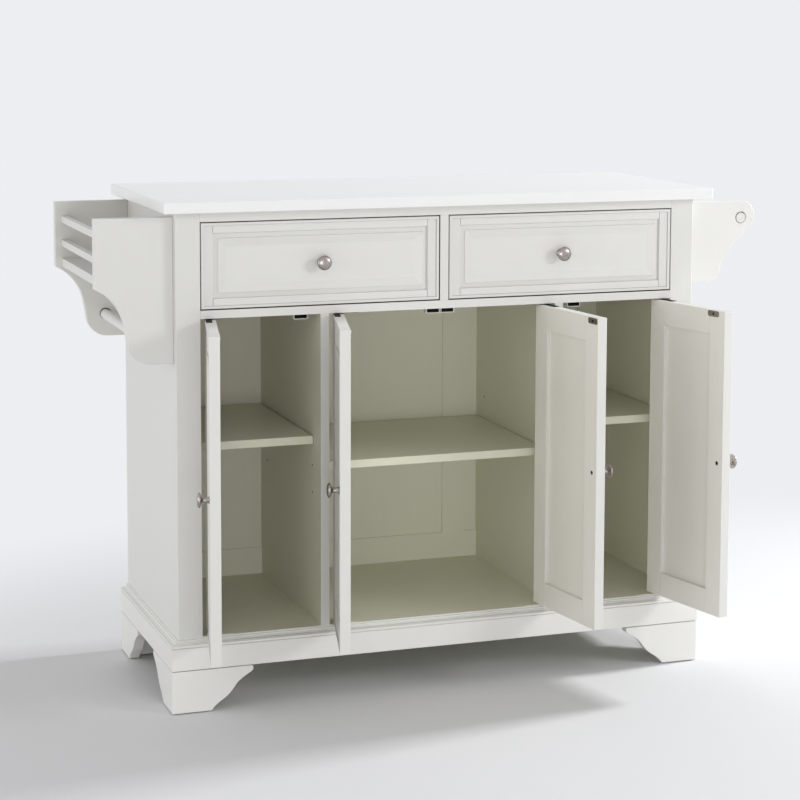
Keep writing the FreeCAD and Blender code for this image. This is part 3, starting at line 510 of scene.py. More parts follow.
moulding_corners = [
    (0, z_moulding), (nose_foot_out, z_moulding), (nose_foot_out, z_moulding + NOSE_FOOT),
    (BASE_OUT, z_moulding + NOSE_FOOT), (BASE_OUT, z_nose), (hollow_out - 0.0006, z_nose - 0.0008),
    (hollow_out, hollow_low),
    *zip(hollow_out - (hollow_out - hollow_in) * np.sin(hollow_turn),
         hollow_low + (hollow_high - hollow_low) * (1 - np.cos(hollow_turn))),
    (hollow_in, hollow_high), (MOULDING_LEDGE - 0.0004, hollow_high - 0.0006),
    (MOULDING_LEDGE, z_cap), (0, z_cap)]
moulding_radii = ([BUTT_ARRIS, 0.0001, 0.0001, 0.0016, 0.0022, 0.0001, 0.0002] + [0.1] * len(hollow_turn)
                  + [0.0003, 0.0001, 0.0007, BUTT_ARRIS])
moulding_section = eased_line(moulding_corners, moulding_radii)
add_piece("cap_moulding", "base_moulding",
          [skirt_run(moulding_section, side, base_light_paint[way])
           for side, way in (("front", "across"), ("left", "deep"), ("right", "deep"))])

# ---------------------------------------------------------------------------
# Bracket feet. Two shaped boards mitred at the corner and glued to a block,
# the corner rubbed round. The lower edge is flat at the toe, then rises in a
# reversed curve to a round tip.
FOOT_LOW = 0.002
FOOT_THICK = 0.020
FOOT_BLOCK = 0.034
FOOT_SEAM = 0.0013
FOOT_ARRIS = 0.0011
FOOT_CORNER = 0.0016
FOOT_INNER_CORNER = 0.0006
FOOT_CURVE = ((0.0720, 0.0), (0.0775, 0.0070), (0.0840, 0.0125), (0.0945, 0.0198), (0.1053, 0.0285),
              (0.1130, 0.0378), (0.1193, 0.0462), (0.1270, 0.0530), (0.1352, 0.0585), (0.1460, 0.0650))
FOOT_FIRST_SLOPE = 1.3
TIP_RADIUS = 0.0075
TIP_CENTRE = (0.1415, 0.0710)
TIP_ANGLES = np.radians([37.0, 45, 52, 60, 68, 76, 83])


def foot_edge(along):
    """Height of a foot's lower edge at a distance along its face: a smooth curve through the
    template's points, worked out by cubic pieces whose slopes are the mean of their neighbours'."""
    s, z = np.array(FOOT_CURVE).T
    slope = np.gradient(z, s)
    slope[0] = FOOT_FIRST_SLOPE
    k = np.clip(np.searchsorted(s, along) - 1, 0, len(s) - 2)
    h = s[k + 1] - s[k]
    t = np.clip((along - s[k]) / h, 0, 1)
    rise = ((1 + 2 * t) * (1 - t) ** 2 * z[k] + t * (1 - t) ** 2 * h * slope[k]
            + t ** 2 * (3 - 2 * t) * z[k + 1] - t ** 2 * (1 - t) * h * slope[k + 1])
    return np.where(along <= s[0], 0.0, rise)


def bracket_foot(corner_x, corner_y, run_x, run_y, top, finish):
    """A section of thickness by height carried along the side face, round the corner and along the
    front face. Its lower edge follows foot_edge, and past that both edges close on the tip's circle,
    half its height being the root of radius squared less distance squared. The lower and upper
    faces' normals lean by their edges' slopes."""
    bend, height = FOOT_CURVE[0][0], top - FOOT_LOW
    swell = TIP_CENTRE[0] + TIP_RADIUS * np.sin(TIP_ANGLES)
    half = np.sqrt(TIP_RADIUS ** 2 - (swell - TIP_CENTRE[0]) ** 2)
    curve = np.concatenate([[bend - 0.001], np.linspace(bend, FOOT_CURVE[-1][0], 36)])
    along = np.concatenate([curve, swell])
    low_edge = np.concatenate([foot_edge(curve), TIP_CENTRE[1] - half])
    high_edge = np.concatenate([np.full(len(curve), height), np.minimum(TIP_CENTRE[1] + half, height)])
    low_lean, high_lean = np.gradient(low_edge, along), -np.gradient(high_edge, along)
    low_lean[0] = 0
    swing = np.linspace(0, np.pi / 2, 6)
    still = np.zeros(len(swing))
    low_edge, high_edge, low_lean, high_lean = (
        np.concatenate([edge[::-1], still + edge[0], edge])
        for edge in (low_edge, high_edge, low_lean, high_lean))
    count = len(along)
    first, second = np.tile((1.0, 0.0), (count, 1)), np.tile((0.0, 1.0), (count, 1))
    inward = np.concatenate([first, np.stack([np.cos(swing), np.sin(swing)], 1), second])
    travel = np.concatenate([second, np.zeros((len(swing), 2)), first])

    def plan_line(depth, radius):
        straight = np.stack([np.full(count, depth), along], 1)
        return np.concatenate([straight[::-1], depth + radius * (1 - inward[count:-count]), straight[:, ::-1]])

    outer, inner = plan_line(0.0, FOOT_CORNER), plan_line(FOOT_THICK, FOOT_INNER_CORNER)
    arris = np.minimum(FOOT_ARRIS, 0.4 * (high_edge - low_edge))[:, None]
    cos, sin = np.cos(QUARTER), np.sin(QUARTER)
    turn_depth = np.concatenate([-cos, sin, cos, -sin])[None]
    turn_up = np.concatenate([-sin, -cos, sin, cos])[None]
    at_inner = np.repeat([False, True, True, False], 4)[None]
    at_top = np.repeat([False, False, True, True], 4)[None]
    depth = np.where(at_inner, FOOT_THICK - arris * (1 - turn_depth), arris * (1 + turn_depth))
    share = (depth / FOOT_THICK)[..., None]
    plan = outer[:, None] * (1 - share) + inner[:, None] * share
    level = FOOT_LOW + np.where(at_top, high_edge[:, None] - arris * (1 - turn_up),
                                low_edge[:, None] + arris * (1 + turn_up))
    lift = np.where(at_top, turn_up * high_lean[:, None], -turn_up * low_lean[:, None])
    flat_normal = inward[:, None] * turn_depth[..., None] + travel[:, None] * lift[..., None]
    points = np.stack([corner_x + run_x * plan[..., 0], corner_y + run_y * plan[..., 1], level],
                      axis=-1).reshape(-1, 3)
    normals = np.stack([run_x * flat_normal[..., 0], run_y * flat_normal[..., 1],
                        np.broadcast_to(turn_up, level.shape)], axis=-1).reshape(-1, 3)
    rows, ring = level.shape
    quads = grid_quads(rows, ring, True)
    caps = np.arange(ring)[None, ::-1], np.arange(ring)[None]
    if run_x * run_y < 0:
        quads, caps = quads[:, ::-1], caps[::-1]
    foot = [(points, normals, [quads], finish),
            (points[:ring], np.tile((0.0, run_y, 0.0), (ring, 1)), [caps[0]], finish),
            (points[-ring:], np.tile((run_x, 0.0, 0.0), (ring, 1)), [caps[1]], finish)]
    near = np.array([corner_x + run_x * FOOT_THICK, corner_y + run_y * FOOT_THICK])
    far = near + FOOT_BLOCK * np.array([run_x, run_y])
    low, high = np.minimum(near, far), np.maximum(near, far)
    return [foot, board((*low, FOOT_LOW), (*high, top), FOOT_ARRIS, "z", finish)]


for end, corner_y, run_y in (("front", case_front - BASE_OUT, 1.0), ("back", case_back, -1.0)):
    for side, run_x in (("left", 1.0), ("right", -1.0)):
        add_piece("bracket_foot_%s_%s" % (end, side), "foot_%s_%s" % (end, side),
                  bracket_foot(-run_x * (CASE_HALF + BASE_OUT), corner_y, run_x, run_y, z_board - FOOT_SEAM,
                               base_light_paint["across"]))

# ---------------------------------------------------------------------------
# Shelves. Loose boards with rubbed arrises that lie on bent metal supports.
# Their sawn ends are near-black: painted shade for the dark gap at each end.
SHELF_ARRIS = 0.0009
SHELF_END_GAP = 0.0020
# Painted shade: the shelves take a darker copy of the inner white.
shelf_shade_paint = paint("shelf_white", (0.72, 0.71, 0.575), 0.36, "across")
shelf_end = paint("bare_shelf_end", (0.10, 0.085, 0.06), 0.8, "up")
add_piece("centre_shelf_board", "centre_shelf",
          [board(*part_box("centre_shelf"), SHELF_ARRIS, "x", shelf_shade_paint, shelf_end)])
sides_low, sides_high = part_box("side_shelves")
side_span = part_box("side_panel_left")[1][0] + SHELF_END_GAP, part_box("partition_left")[0][0] - SHELF_END_GAP
add_piece("side_shelf_boards", "side_shelves",
          [board((a, *sides_low[1:]), (b, *sides_high[1:]), SHELF_ARRIS, "x", shelf_shade_paint, shelf_end)
           for a, b in (side_span, (-side_span[1], -side_span[0]))])


# ---------------------------------------------------------------------------
# Spice rack. Two sawn end panels with a hollow curve and a round toe, glued to
# the case side; a tray and two square rails between them, and a turned bar
# that lies loose in drilled sockets.
def arc_through(start, middle, end, count=9):
    """Points on the circle through three points, after the first of them and up to the last. The
    centre is where the two chords' middle normals meet."""
    (ax, ay), (bx, by), (cx, cy) = start, middle, end
    d = 2 * (ax * (by - cy) + bx * (cy - ay) + cx * (ay - by))
    a2, b2, c2 = ax * ax + ay * ay, bx * bx + by * by, cx * cx + cy * cy
    centre = np.array([(a2 * (by - cy) + b2 * (cy - ay) + c2 * (ay - by)) / d,
                       (a2 * (cx - bx) + b2 * (ax - cx) + c2 * (bx - ax)) / d])
    angles = [math.atan2(p[1] - centre[1], p[0] - centre[0]) for p in (start, middle, end)]
    to_middle = (angles[1] - angles[0] + math.pi) % (2 * math.pi) - math.pi
    on = (angles[2] - angles[1] + math.pi) % (2 * math.pi) - math.pi
    sweep = angles[0] + (to_middle + on) * np.linspace(0, 1, count + 1)[1:]
    radius = math.dist(centre, start)
    return [tuple(p) for p in centre + radius * np.stack([np.cos(sweep), np.sin(sweep)], axis=-1)]


z_end_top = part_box("spice_rack_front_panel")[1][2]
# Painted shade: the back end, tray and rails take a darker copy of the case white, for the shade under the
# worktop's overhang.
rack_shade_paint = {way: paint("rack_white_" + way, (0.69, 0.685, 0.65), 0.45, way) for way in ("up", "deep")}
END_ARRIS = 0.0012
END_CORNER = 0.0015
SMOOTH = 1.0
BAR_RADIUS = 0.010
BAR_PLAY = 0.0008
SOCKET_DEEP = 0.008
hollow = arc_through((0.1392, 0.123), (0.1025, 0.1526), (0.086, 0.191))
toe = arc_through((0.081, 0.221), (0.0662, 0.2499), (0.041, 0.259))
rack_steps = [(0, 0), (0.1392, 0), (0.1392, 0.123), *hollow, (0.081, 0.221), *toe, (0, 0.259)]
rack_radii = [END_CORNER, END_CORNER, 0.0040] + [SMOOTH] * (len(hollow) + 1 + len(toe)) + [END_CORNER]
rack_outline = eased_line([(-CASE_HALF - out, z_end_top - drop) for out, drop in rack_steps], rack_radii)
rack_mouth = (-CASE_HALF - 0.045, z_end_top - 0.217 + BAR_PLAY), BAR_RADIUS + BAR_PLAY
# The back end's bar socket is near-black: painted shade in the hole.
for end, finish, socket_finish in (("front", case_paint["up"], case_paint["up"]),
                                   ("back", rack_shade_paint["up"], painted_shade_black_board)):
    (_, front, _), (_, back, _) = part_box("spice_rack_%s_panel" % end)
    if end == "front":
        mouths, socket = ((), [rack_mouth]), (back - SOCKET_DEEP, back)
    else:
        mouths, socket = ([rack_mouth], ()), (front, front + SOCKET_DEEP)
    add_piece("rack_%s_end" % end, "spice_rack_%s_panel" % end,
              [eased_plate(rack_outline, front, back, END_ARRIS, "y", finish, *mouths)
               + bore(*rack_mouth, *socket, socket_finish, end)])
TRAY_ARRIS = 0.0010
RACK_RAIL = 0.013
add_piece("rack_tray_board", "spice_rack_tray",
          [board(*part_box("spice_rack_tray"), TRAY_ARRIS, "y", rack_shade_paint["deep"])])
(x0, y0, z0), (x1, y1, z1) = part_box("spice_rack_rails")
add_piece("rack_rails_pair", "spice_rack_rails",
          [board((x0, y0, top - RACK_RAIL), (x1, y1, top), END_ARRIS, "y", rack_shade_paint["deep"])
           for top in (z1, z0 + RACK_RAIL)])


def turned(profile, centre, facing, finish):
    """A lathe shape: a profile of (radius, height) carried round a line along y. facing is -1 when
    the height grows towards the front. Both ends close with a flat disc."""
    line, line_normal = profile
    sides = ROUND_SIDES
    turn = np.arange(sides) * 2 * np.pi / sides
    radius, height = line[:, :1], line[:, 1:]
    cos, sin = np.cos(turn)[None], np.sin(turn)[None]
    level = np.broadcast_to(centre[1] + facing * height, (len(line), sides))
    points = np.stack([centre[0] + radius * cos, level, centre[2] + radius * sin], axis=-1).reshape(-1, 3)
    lean = np.broadcast_to(facing * line_normal[:, 1:], (len(line), sides))
    normals = np.stack([line_normal[:, :1] * cos, lean, line_normal[:, :1] * sin], axis=-1).reshape(-1, 3)
    quads = grid_quads(len(line), sides, True)
    loop = np.arange(sides)
    ends = [loop[::-1][None], loop[None]]
    if facing > 0:
        quads, ends = quads[:, ::-1], ends[::-1]
    flat = np.tile((0.0, 1.0, 0.0), (sides, 1)) * facing
    return [(points, normals, [quads], finish), (points[:sides], -flat, [ends[0]], finish),
            (points[-sides:], flat, [ends[1]], finish)]


for bar, node in (("rack_round_bar", "spice_rack_bar"), ("towel_round_bar", "towel_rail_bar")):
    low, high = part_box(node)
    length = high[1] - low[1]
    middle = ((low[0] + high[0]) / 2, high[1], (low[2] + high[2]) / 2)
    profile = eased_line([(0.001, 0), (BAR_RADIUS, 0), (BAR_RADIUS, length), (0.001, length)],
                         [0, END_ARRIS, END_ARRIS, 0], closed=False, steps=4)
    add_piece(bar, node, [turned(profile, middle, -1, case_paint["deep"])])

# ---------------------------------------------------------------------------
# Towel rail. Two sawn brackets with a round nose, a hollow curve and a small
# toe, drilled right through for the bar, whose ends stand a little inside.
TOWEL_PLAY = 0.0014
nose_dip, nose_turn, nose_radius, nose_x = math.radians(62), math.radians(-14), 0.030, 0.1092
nose = arc_through((nose_x, 0), *((nose_x + nose_radius * math.cos(a), nose_radius * (1 + math.sin(a)))
                                  for a in (nose_turn, nose_dip)), 14)
neck = arc_through((0.089, 0.089), (0.07624, 0.10686), (0.067, 0.127))
small_toe = arc_through((0.067, 0.127), (0.0618, 0.146), (0.054, 0.152))
towel_steps = [(0, 0), (nose_x, 0), *nose, (0.089, 0.089), *neck, *small_toe, (0, 0.152)]
towel_radii = [END_CORNER] + [SMOOTH] * (len(towel_steps) - 2) + [END_CORNER]
towel_outline = eased_line([(CASE_HALF + out, z_end_top - drop) for out, drop in towel_steps[::-1]],
                           towel_radii)
towel_mouth = ((CASE_HALF + 0.111 - 0.7 * TOWEL_PLAY, z_end_top - 0.0335 + 0.7 * TOWEL_PLAY),
               BAR_RADIUS + TOWEL_PLAY)
# The brackets take the base's white made 6% lighter: painted light.
for end in ("front", "back"):
    (_, front, _), (_, back, _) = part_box("towel_rail_%s_bracket" % end)
    add_piece("towel_%s_bracket" % end, "towel_rail_%s_bracket" % end,
              [eased_plate(towel_outline, front, back, END_ARRIS, "y", base_light_paint["across"],
                           [towel_mouth], [towel_mouth])
               + bore(*towel_mouth, front, back, case_paint["up"])])

# ---------------------------------------------------------------------------
# Knobs. Cast and turned mushroom knobs in brushed nickel: a shallow crown with
# a rolled rim, a waisted stem and a foot flange, held by a screw from behind.
nickel, nickel_tree = new_material("brushed_nickel")
brushing = noise(nickel_tree, 1.0, 3.0, 0.6, (300.0, 300.0, 3000.0))
tarnish = noise(nickel_tree, 160.0, 2.0, 0.5)
surface(nickel_tree, Metallic=1.0, Roughness=brushing * 0.14 + 0.20,
        Base_Color=mix_colour(nickel_tree, tarnish, (0.31, 0.275, 0.25), (0.43, 0.395, 0.37)),
        Normal=add_node(nickel_tree, "Bump", Height=brushing, Strength=0.15, Distance=0.0002))


def steel(name, dark, light, scale, roughness, **sockets):
    """Steel that was plated, or blacked with heat and oil: one noise moves its tone and its gloss."""
    material, tree = new_material(name)
    marks = noise(tree, scale, 3.0, 0.6)
    surface(tree, Base_Color=mix_colour(tree, marks, dark, light), Roughness=marks * 0.2 + roughness, **sockets)
    return material


BLACKED = (0.003, 0.003, 0.003), (0.008, 0.0075, 0.007)
black_steel = steel("blacked_steel", *BLACKED, 300.0, 0.55, Specular_IOR_Level=0.08)
knob_corners = [(0.0010, 0), (0.0080, 0), (0.0080, 0.0018), (0.0060, 0.0030), (0.0048, 0.0065),
                (0.0042, 0.0100), (0.0052, 0.0140), (0.0100, 0.0162), (0.0131, 0.0178), (0.0135, 0.0192),
                (0.0122, 0.0213), (0.0094, 0.0229), (0.0055, 0.0238), (0.0012, 0.0240)]
knob_profile = eased_line(knob_corners, [0, 0.0002, 0.0006] + [SMOOTH] * 10 + [0], closed=False)
screw_profile = eased_line([(0.0036, -0.004), (0.0036, -0.0004), (0.0016, 0.0), (0.0012, -0.0009),
                            (0.0003, -0.0009)], [0, 0.0006, 0.0003, 0.0002, 0], closed=False)

# ---------------------------------------------------------------------------
# Drawers. Each front is two stiles and two rails with a raised bead planted
# round the edge, and a panel that rises to a crest and dishes back to a flat
# field. The box behind is boarded and takes the inner white, made yellower as
# painted shade.
BEAD_WIDE = 0.0050
BEAD_PROUD = 0.0022
QUIRK_WIDE = 0.0005
QUIRK_DEEP = 0.0009
JOINT_GAP = 0.0004
FACING_BACK = 0.0002
FRAME_ARRIS = 0.0006
FRONT_THICK = 0.019
SINK_RADIUS = 0.0040
SINK_DEEP = 0.0030
PANEL_TONGUE = 0.004


def carried_round(rect, section, closed, finish):
    """A section of (distance in from the edge, depth) carried round a rectangle (x0, z0, x1, z1) with
    mitred corners: a point goes round the rectangle drawn in by its distance. An open section gets
    a flat face inside its last ring, in front, and one inside its first, at the back."""
    line, line_normal = section
    inset, depth = line.T
    x0, z0, x1, z1 = rect
    corners = np.stack([[x0 + inset, z0 + inset], [x1 - inset, z0 + inset],
                        [x1 - inset, z1 - inset], [x0 + inset, z1 - inset]])
    count = len(inset)
    quads = grid_quads(count, 2, False)
    if closed:
        quads = np.concatenate([quads, [[2 * count - 2, 2 * count - 1, 1, 0]]])
    sheets = []
    for side, inward in enumerate(((0, 1), (-1, 0), (0, -1), (1, 0))):
        ends = np.stack([corners[side], corners[(side + 1) % 4]], axis=1)
        points = np.stack([ends[0], np.broadcast_to(depth, ends[0].shape), ends[1]], axis=-1)
        normal = np.stack([inward[0] * line_normal[:, 0], line_normal[:, 1], inward[1] * line_normal[:, 0]],
                          axis=-1)
        sheets.append((points.transpose(1, 0, 2).reshape(-1, 3), np.repeat(normal, 2, axis=0), [quads],
                       finish))
    for row, facing, order in () if closed else ((-1, -1.0, [0, 1, 2, 3]), (0, 1.0, [3, 2, 1, 0])):
        flat = np.stack([corners[:, 0, row], np.full(4, depth[row]), corners[:, 1, row]], axis=-1)
        sheets.append((flat, np.tile((0.0, facing, 0.0), (4, 1)), [np.array([order])], finish))
    return sheets


def front_frame(rect, face, stile, bar, stile_paint, rail_paint, screw=None):
    """Stiles the full height with rails between them, faced with thin boards drawn in from the edge,
    so that a quirk is left beside the planted bead. A screw place is sunk into the back of the stile
    that it falls on."""
    x0, z0, x1, z1 = rect
    front, low, high = face + BEAD_PROUD, face + BEAD_PROUD + QUIRK_DEEP, face + FRONT_THICK
    edge, under = BEAD_WIDE + QUIRK_WIDE, low + FRAME_ARRIS
    inner = stile + JOINT_GAP
    solids = []
    for a, b in ((x0, x0 + stile), (x1 - stile, x1)):
        mouths = [(screw, SINK_RADIUS)] if screw and a < screw[0] < b else []
        solids.append(board((a, low, z0), (b, high, z1), FRAME_ARRIS, "y", stile_paint, back_mouths=mouths))
        if mouths:
            solids[-1] += bore(*mouths[0], high - SINK_DEEP, high, stile_paint, "front")
    for a, b in ((z0, z0 + bar), (z1 - bar, z1)):
        solids.append(board((x0 + inner, low, a), (x1 - inner, high, b), FRAME_ARRIS, "y", rail_paint))
    for a, b in ((x0 + edge, x0 + stile - FACING_BACK), (x1 - stile + FACING_BACK, x1 - edge)):
        solids.append(board((a, front, z0 + edge), (b, under, z1 - edge), FRAME_ARRIS / 2, "y", stile_paint))
    for a, b in ((z0 + edge, z0 + bar - FACING_BACK), (z1 - bar + FACING_BACK, z1 - edge)):
        solids.append(board((x0 + inner + FACING_BACK, front, a), (x1 - inner - FACING_BACK, under, b),
                            FRAME_ARRIS / 2, "y", rail_paint))
    bead = eased_line([(0, under), (0, face), (BEAD_WIDE, face), (BEAD_WIDE, under)],
                      [0.0001, 0.0012, 0.0004, 0.0001])
    return solids + [carried_round(rect, bead, True, stile_paint)]


def raised_panel(rect, face, stile, bar, back, finish):
    """From its tongue the panel rises 2.5 mm over 9 mm, steps up 3 mm at a rolled crest and dishes
    5 mm back over 13 mm to its flat field."""
    section = [(-PANEL_TONGUE, back), (-PANEL_TONGUE, 0.0072), (0.0, 0.0072), (0.0090, 0.0047),
               (0.0094, 0.0020), (0.0112, 0.0013), (0.0238, 0.0058), (0.0250, 0.0060)]
    section = eased_line([(inset, face + depth) for inset, depth in section],
                         [0, 0.0002, 0.0002, 0.0002, 0.0005, 0.0010, 0.0030, 0], closed=False)
    opening = rect[0] + stile, rect[1] + bar, rect[2] - stile, rect[3] - bar
    return [carried_round(opening, section, False, finish)]


DRAWER_STILE = 0.0215
DRAWER_BAR = 0.0180
DRAWER_PANEL_BACK = FRONT_THICK - 0.0005
DRAWER_FIELD = 0.006
for body in ("drawer_left", "drawer_right"):
    (x0, face, z0), (x1, _, z1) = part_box(body + "_front_frame")
    rect = x0, z0, x1, z1
    add_piece(body + "_stiles_rails_bead", body + "_front_frame",
              front_frame(rect, face, DRAWER_STILE, DRAWER_BAR, case_paint["up"], case_paint["across"]), body)
    add_piece(body + "_raised_panel", body + "_front_panel",
              raised_panel(rect, face, DRAWER_STILE, DRAWER_BAR, DRAWER_PANEL_BACK, case_paint["across"]),
              body)
    middle_x, middle_z = (x0 + x1) / 2, (z0 + z1) / 2
    add_piece(body + "_turned_knob", body + "_knob",
              [turned(knob_profile, (middle_x, face + DRAWER_FIELD, middle_z), -1, nickel),
               turned(screw_profile, (middle_x, face + FRONT_THICK, middle_z), 1, nickel)],
              body)
    finish_node(body + "_box", inner_shade_tinted_paint["across"])

# ---------------------------------------------------------------------------
# Doors. The same construction as the drawer fronts, with wider stiles and
# rails. They hang open on black pivot leaves let into their ends, and carry a
# nickel strike plate inside the free corner.
DOORS = (("left", -0.456, 1, 102.5), ("centre_left", -0.2195, 1, 104.4),
         ("centre_right", 0.2195, -1, 97.6), ("right", 0.456, -1, 102.0))
DOOR_WIDE = 0.2165
DOOR_GAP = 0.002
DOOR_STILE = 0.042
DOOR_BAR = 0.045
DOOR_PANEL_BACK = 0.013
PIVOT_IN = 0.016
PIVOT_BACK = 0.0065
KNOB_IN = 0.016
KNOB_UP = 0.422
SCREW_SUNK = 0.0006
STRIKE_LONG = 0.031
STRIKE_TALL = 0.011
STRIKE_THICK = 0.0012
STRIKE_CORNER = 0.0042
STRIKE_HOLE = 0.0019
STRIKE_FROM_TOP = 0.001
STRIKE_INSET = {"left": 0.016, "centre_left": 0.0005, "centre_right": 0.0005, "right": 0.016}
door_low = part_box("cabinet_floor")[1][2] + DOOR_GAP
door_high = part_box("drawer_rail")[0][2] - DOOR_GAP
door_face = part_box("front_post_left")[0][1]
door_behind = door_face + FRONT_THICK
# Painted light: the doors' inner faces take a lighter, yellower copy of the white.
door_inside_painted_light = paint("door_lining_up", (0.825, 0.805, 0.735), 0.45, "up")


def with_painted_light_backs(solids):
    """Gives each face that looks backwards a lighter, yellower copy of the white: painted light on the door's
    inner side.
    """
    made = []
    for solid in solids:
        sheets = []
        for points, normals, groups, own in solid:
            back = [normals[group][..., 1].mean(axis=1) > 0.7 for group in groups]
            sheets.append((points, normals, [g[~b] for g, b in zip(groups, back) if not b.all()], own))
            sheets.append((points, normals, [g[b] for g, b in zip(groups, back) if b.any()], door_inside_painted_light))
        made.append([sheet for sheet in sheets if sheet[2]])
    return made


def swung(solids, pivot, degrees):
    """Solids turned about an upright line through the pivot."""
    c, s = math.cos(math.radians(degrees)), math.sin(math.radians(degrees))
    spin = np.array([[c, s, 0], [-s, c, 0], [0, 0, 1]])
    base = np.array([*pivot, 0.0])
    return [[((p - base) @ spin + base, n @ spin, faces, finish) for p, n, faces, finish in solid]
            for solid in solids]


for name, edge, run, open_degrees in DOORS:
    body = "door_" + name
    near = edge + run * DOOR_GAP
    free = near + run * DOOR_WIDE
    pivot = edge + run * PIVOT_IN, door_face + PIVOT_BACK
    rect = min(near, free), door_low, max(near, free), door_high
    knob_x = free - run * KNOB_IN
    frame_solids = front_frame(rect, door_face, DOOR_STILE, DOOR_BAR, case_paint["up"], case_paint["deep"],
                               (knob_x, KNOB_UP))
    panel_solids = raised_panel(rect, door_face, DOOR_STILE, DOOR_BAR, DOOR_PANEL_BACK, case_paint["up"])
    a, b = sorted(free - run * (STRIKE_INSET[name] + along) for along in (0.0, STRIKE_LONG))
    strike_top = door_high - STRIKE_FROM_TOP
    strike_low = strike_top - STRIKE_TALL
    outline = eased_line(rectangle(a, strike_low, b, strike_top), STRIKE_CORNER, steps=6)
    mouth = ((a + b) / 2, (strike_low + strike_top) / 2), STRIKE_HOLE
    strike = (eased_plate(outline, door_behind, door_behind + STRIKE_THICK, 0.0004, "y", nickel,
                          high_mouths=[mouth])
              + bore(*mouth, door_behind + 0.0002, door_behind + STRIKE_THICK, black_steel, "front"))
    metal_solids = [turned(knob_profile, (knob_x, door_face + BEAD_PROUD, KNOB_UP), -1, nickel),
                    turned(screw_profile, (knob_x, door_behind - SCREW_SUNK, KNOB_UP), 1, black_steel),
                    strike]
    for piece, node, solids, slot in (
            ("_stiles_rails_bead", "_frame", with_painted_light_backs(frame_solids), "painted_wood"),
            ("_raised_panel", "_panel", with_painted_light_backs(panel_solids), "painted_wood"),
            ("_knob_strike_screws", "_knob_and_strike", metal_solids, "brushed_nickel")):
        add_piece(body + piece, body + node, swung(solids, pivot, -run * open_degrees), body)

# ---------------------------------------------------------------------------
# Catches, hinge leaves, shelf supports and glides. Pressed and blacked steel
# leaves, magnets in pale eared housings, zinc-plated supports, grey felt.
LEAF_PAINTED_BELOW = 0.40
leaf_finish, leaf_tree = new_material("leaf_black_above_painted_below")
leaf_marks = noise(leaf_tree, 300.0, 3.0, 0.6)
leaf_tone = mix_colour(leaf_tree, place(leaf_tree, "z") > LEAF_PAINTED_BELOW,
                       mix_colour(leaf_tree, leaf_marks, *tones(INNER_SHADE_TINTED_WHITE)),
                       mix_colour(leaf_tree, leaf_marks, *BLACKED))
surface(leaf_tree, Base_Color=leaf_tone, Roughness=leaf_marks * 0.2 + 0.5, Specular_IOR_Level=0.1)
for node in nodes:
    if node.endswith("hinge_leaves"):
        finish_node(node, leaf_finish)
finish_node("shelf_supports", steel("zinc_plate", (0.50, 0.50, 0.49), (0.66, 0.66, 0.65), 220.0, 0.25,
                                    Metallic=1.0))
felt, felt_tree = new_material("grey_felt")
fibre = noise(felt_tree, 1400.0, 4.0, 0.7)
surface(felt_tree, Base_Color=mix_colour(felt_tree, fibre, (0.10, 0.10, 0.10), (0.22, 0.22, 0.21)),
        Roughness=0.95, Normal=add_node(felt_tree, "Bump", Height=fibre, Strength=0.6, Distance=0.0005))
finish_node("foot_glides", felt)

CATCH_WIDE = 0.026
CATCH_TALL = 0.011
CATCH_DEEP = 0.014
CATCH_EAR = 0.008
CATCH_EAR_THICK = 0.0015
CATCH_WALL = 0.0013
CATCH_RECESS = 0.0012
CATCH_ARRIS = 0.0003
POLE_THICK = 0.0012
POLE_IN = 0.0008
POLE_SHORT = 0.0035
housing_white = paint("catch_housing_white", (0.80, 0.80, 0.78), 0.35, "across")
dull_steel = steel("dull_pole_steel", (0.012, 0.012, 0.012), (0.03, 0.03, 0.028), 300.0, 0.45,
                   Specular_IOR_Level=0.08)
(_, catch_front, _), (_, _, catch_top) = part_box("magnetic_catches")
catch_back = catch_front + CATCH_DEEP
catch_solids = []
for name, edge, run, _ in DOORS:
    paired = name.startswith("centre")
    free = edge + run * (DOOR_GAP + DOOR_WIDE) - run * (0.0 if paired else STRIKE_INSET[name])
    a, b = sorted((free, free - run * CATCH_WIDE))
    low, high = catch_top - CATCH_TALL + CATCH_WALL, catch_top - CATCH_EAR_THICK
    for x0, z0, x1, z1 in ((a, catch_top - CATCH_TALL, b, low), (a, high, b, catch_top),
                           (a, low, a + CATCH_WALL, high), (b - CATCH_WALL, low, b, high)):
        catch_solids.append(board((x0, catch_front, z0), (x1, catch_back, z1), CATCH_ARRIS, "y",
                                  housing_white))
    ears = [(a - CATCH_EAR, a)] * (not paired or run > 0) + [(b, b + CATCH_EAR)] * (not paired or run < 0)
    for x0, x1 in ears:
        catch_solids.append(board((x0, catch_front, high), (x1, catch_back, catch_top), CATCH_ARRIS, "z",
                                  housing_white))
    catch_solids.append(board((a + CATCH_WALL, catch_front + CATCH_RECESS, low),
                              (b - CATCH_WALL, catch_back - 0.001, high), CATCH_ARRIS, "y", black_steel))
    for pole in (low + POLE_IN, high - POLE_IN - POLE_THICK):
        catch_solids.append(board((a + POLE_SHORT, catch_front + 0.0004, pole),
                                  (b - POLE_SHORT, catch_front + 0.004, pole + POLE_THICK),
                                  0.0002, "x", dull_steel))
add_piece("magnet_catches", "magnetic_catches", catch_solids)

